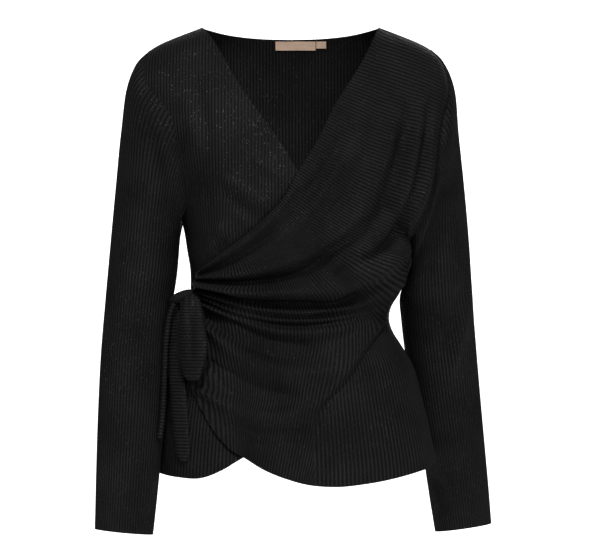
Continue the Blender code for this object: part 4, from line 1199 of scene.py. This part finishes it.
def loopRows():
    # down the front, round the lower end and up behind
    front = stripRows(tieSettings["loopFront"], 30)
    back = stripRows(tieSettings["loopBack"], 30)
    x, frontY, lowest, width = front[-1]
    middleY, halfY = (frontY + back[0][1]) / 2, (back[0][1] - frontY) / 2
    turn = [(x, middleY - halfY * math.cos(angle), lowest - tieSettings["loopTurn"] * math.sin(angle),
             width * math.sqrt(1 - (0.9 * math.sin(angle)) ** 2))
            for angle in np.linspace(math.radians(12), math.radians(168), 14)]
    return np.concatenate([front, np.array(turn), back])


makeStrip("tieLoop", "tie_loop", loopRows(), (6.5, -2.0), (0, 1),
          groove=tieSettings["loopGroove"])
makeStrip("tieWideTail", "tie_wide_tail", stripRows(tieSettings["wideTail"], 60), (3.5, 4.5),
          (0,), roundTip=12)


def makeNarrowTail():
    # the free end rolled to a cord
    rows, length = evenly(stripRows(tieSettings["narrowTail"], 80), quarterRib)
    sides, fullRadius = tieSettings["across"], tieSettings["narrowRadius"]
    shape, across, row = gridOf(sides, len(rows) - 1)
    turnAngle = across / sides * 2 * math.pi
    ahead = unitLength(np.gradient(rows, axis=0))
    sideways = unitLength(np.cross(ahead, (0, 1, 0)))
    forward = np.cross(sideways, ahead)
    ends = np.minimum(length, length[-1] - length)
    radius = fullRadius * np.sqrt(np.clip(1 - (1 - np.clip(ends / fullRadius, 0.02, 1)) ** 2, 0, 1))
    ringed = (radius[row] + ribHeight(row + across / sides * 4) * 0.7 * ease(ends / 5)[row])
    groove = np.exp(-((np.cos(turnAngle - 1.1) - 1) / 0.06) ** 2) * ease(ends / 5)[row]
    ringed -= tieSettings["rollGroove"] * groove
    out = sideways[row] * np.cos(turnAngle)[:, None] + forward[row] * np.sin(turnAngle)[:, None]
    layOut(shape, (rows[row] + out * ringed[:, None]) * mm, np.stack([row / 4, across * 1.0, 0 * row], -1))
    closeEnds(shape, 2e-5)
    item = pieceFrom("tieNarrowTail", shape, ribKnit, "tie_narrow_tail")


makeNarrowTail()


def makeKnot():
    # the strip turned once round itself: a plump oval with ribs across and two slanting creases
    shape = bmesh.new()
    bmesh.ops.create_uvsphere(shape, u_segments=96, v_segments=48, radius=0.5)
    turnBy = math.radians(tieSettings["knotTurn"])
    pattern = shape.verts.layers.float_vector.new("knit")
    size = tieSettings["knotSize"]
    place = tieSettings["knotPlace"]
    for vertex in shape.verts:
        way = vertex.co.normalized()
        ribs = way.x * size[0] / 2 / (wallSettings["ribPitch"] * 0.8)
        groove = math.exp(-((way.z - 0.35 - 0.5 * way.x) / 0.12) ** 2)
        groove += 0.8 * math.exp(-((way.z + 0.45 - 0.35 * way.x) / 0.11) ** 2)
        grow = -0.9 * groove + 0.22 * math.cos(2 * math.pi * ribs) * (1 - abs(way.x) ** 3)
        x, y, z = (way[k] * (size[k] / 2 + min(grow, 0.2)) for k in range(3))
        vertex.co = ((place[0] + x * math.cos(turnBy) + z * math.sin(turnBy)) * mm, (place[1] + y) * mm,
                     (place[2] - x * math.sin(turnBy) + z * math.cos(turnBy)) * mm)
        vertex[pattern] = (ribs, way.z * 8, 0)
    pieceFrom("tieKnot", shape, ribKnit, "tie_knot")


makeKnot()
print("tie made")


# bare neck label and size tab
labelSettings = {
    # name, node, (first x, last x, top, bottom), flat size
    "pieces": (("neckLabel", "label", (-20, 33, -12.5, -24), (0.053, 0.0115)),
               ("sizeTab", "size_tab", (34, 47, -12.5, -21.5), (0.013, 0.010))),
    "gap": 0.9, "thickness": 0.5, "columns": 40, "rows": 12, "wave": 0.18,
}


def makeLabel(name, node, limits, flat):
    first, last, top, bottom = limits
    columnCount, rowCount = labelSettings["columns"], labelSettings["rows"]
    shape, across, down = gridOf(columnCount, rowCount)
    x = first + (last - first) * across / columnCount
    z = top + (bottom - top) * down / rowCount
    onForm = formPoint(aroundFromX(x, z), z, behind=True)
    outward = formNormal(onForm, behind=True)
    edge = np.minimum(np.minimum(across, columnCount - across) / 2, np.minimum(down, rowCount - down) / 1.5)
    middle = onForm - outward * (wall / 2 + labelSettings["gap"] + 0.5)
    middle -= outward * (labelSettings["wave"] * np.sin(x * 0.16) * ease(edge))[:, None]
    middle[:, 1] += wallSettings["seamGap"]
    knit = np.zeros((len(x), 3))
    shape = makeWall([(shape, middle, outward, knit, np.zeros(len(x)))], labelSettings["thickness"])
    item = pieceFrom(name, shape, satinRibbon, node)


for row in labelSettings["pieces"]:
    makeLabel(*row)
print("label made")


# setting: pale floor and backdrop, soft studio light
backdropSettings = {
    "white": "#FFFFFF", "glow": 0.95, "roughness": 0.9, "halfWidth": 2.6,
    "floor": -1.6, "near": -1.6, "far": 4, "bend": 1.6, "rise": 16,      # metres
    "flatShare": 0.45, "bendShare": 0.2,
}
studioSettings = {
    "white": "#FFFFFF", "brightness": 0.22, "aim": (0.0, 0.0, -0.33),
    # name, place, size, power
    "lamps": (("keyLight", (-0.3, -1.75, 1.85), 0.6, 63), ("fillLight", (0.9, -2.8, 0.6), 1.4, 53),
              ("backLight", (0.4, 2.4, 1.6), 1.2, 14)),
}


def makeBackdrop():
    # floor, then a bend and an upright sheet behind the top
    near, far, radius = (backdropSettings[key] for key in ("near", "far", "bend"))
    flat, bent = backdropSettings["flatShare"], backdropSettings["bendShare"]
    shape = bmesh.new()
    bmesh.ops.create_grid(shape, x_segments=1, y_segments=40, size=1)
    for vertex in shape.verts:
        along = (vertex.co.y + 1) / 2
        bend = math.pi / 2 * float(ease((along - flat) / bent))
        depth, rise = near + along / flat * (far - near), 0.0
        if along >= flat:
            depth = far + radius * math.sin(bend)
            rise = radius * (1 - math.cos(bend)) + max(0.0, along - flat - bent) * backdropSettings["rise"]
        vertex.co = (vertex.co.x * backdropSettings["halfWidth"], depth, backdropSettings["floor"] + rise)
    mesh = bpy.data.meshes.new("backdrop")
    shape.to_mesh(mesh)
    shape.free()
    mesh.shade_smooth()
    paper = bpy.data.materials.new("paperBackdrop")
    paper.use_nodes = True
    surface = paper.node_tree.nodes["Principled BSDF"]
    surface.inputs["Base Color"].default_value = linear(backdropSettings["white"])
    surface.inputs["Roughness"].default_value = backdropSettings["roughness"]
    surface.inputs["Emission Color"].default_value = linear(backdropSettings["white"])
    surface.inputs["Emission Strength"].default_value = backdropSettings["glow"]
    mesh.materials.append(paper)
    item = bpy.data.objects.new("backdrop", mesh)
    scene.collection.objects.link(item)


makeBackdrop()
world = bpy.data.worlds.new("studio")
world.use_nodes = True
world.node_tree.nodes["Background"].inputs[0].default_value = linear(studioSettings["white"])
world.node_tree.nodes["Background"].inputs[1].default_value = studioSettings["brightness"]
scene.world = world
for name, place, size, power in studioSettings["lamps"]:
    lamp = bpy.data.lights.new(name, "AREA")
    lamp.size = size
    lamp.energy = power
    item = bpy.data.objects.new(name, lamp)
    item.location = place
    item.rotation_euler = (Vector(studioSettings["aim"]) - Vector(place)).to_track_quat("-Z", "Y").to_euler()
    scene.collection.objects.link(item)
scene.view_settings.view_transform = "Standard"
print("setting made")
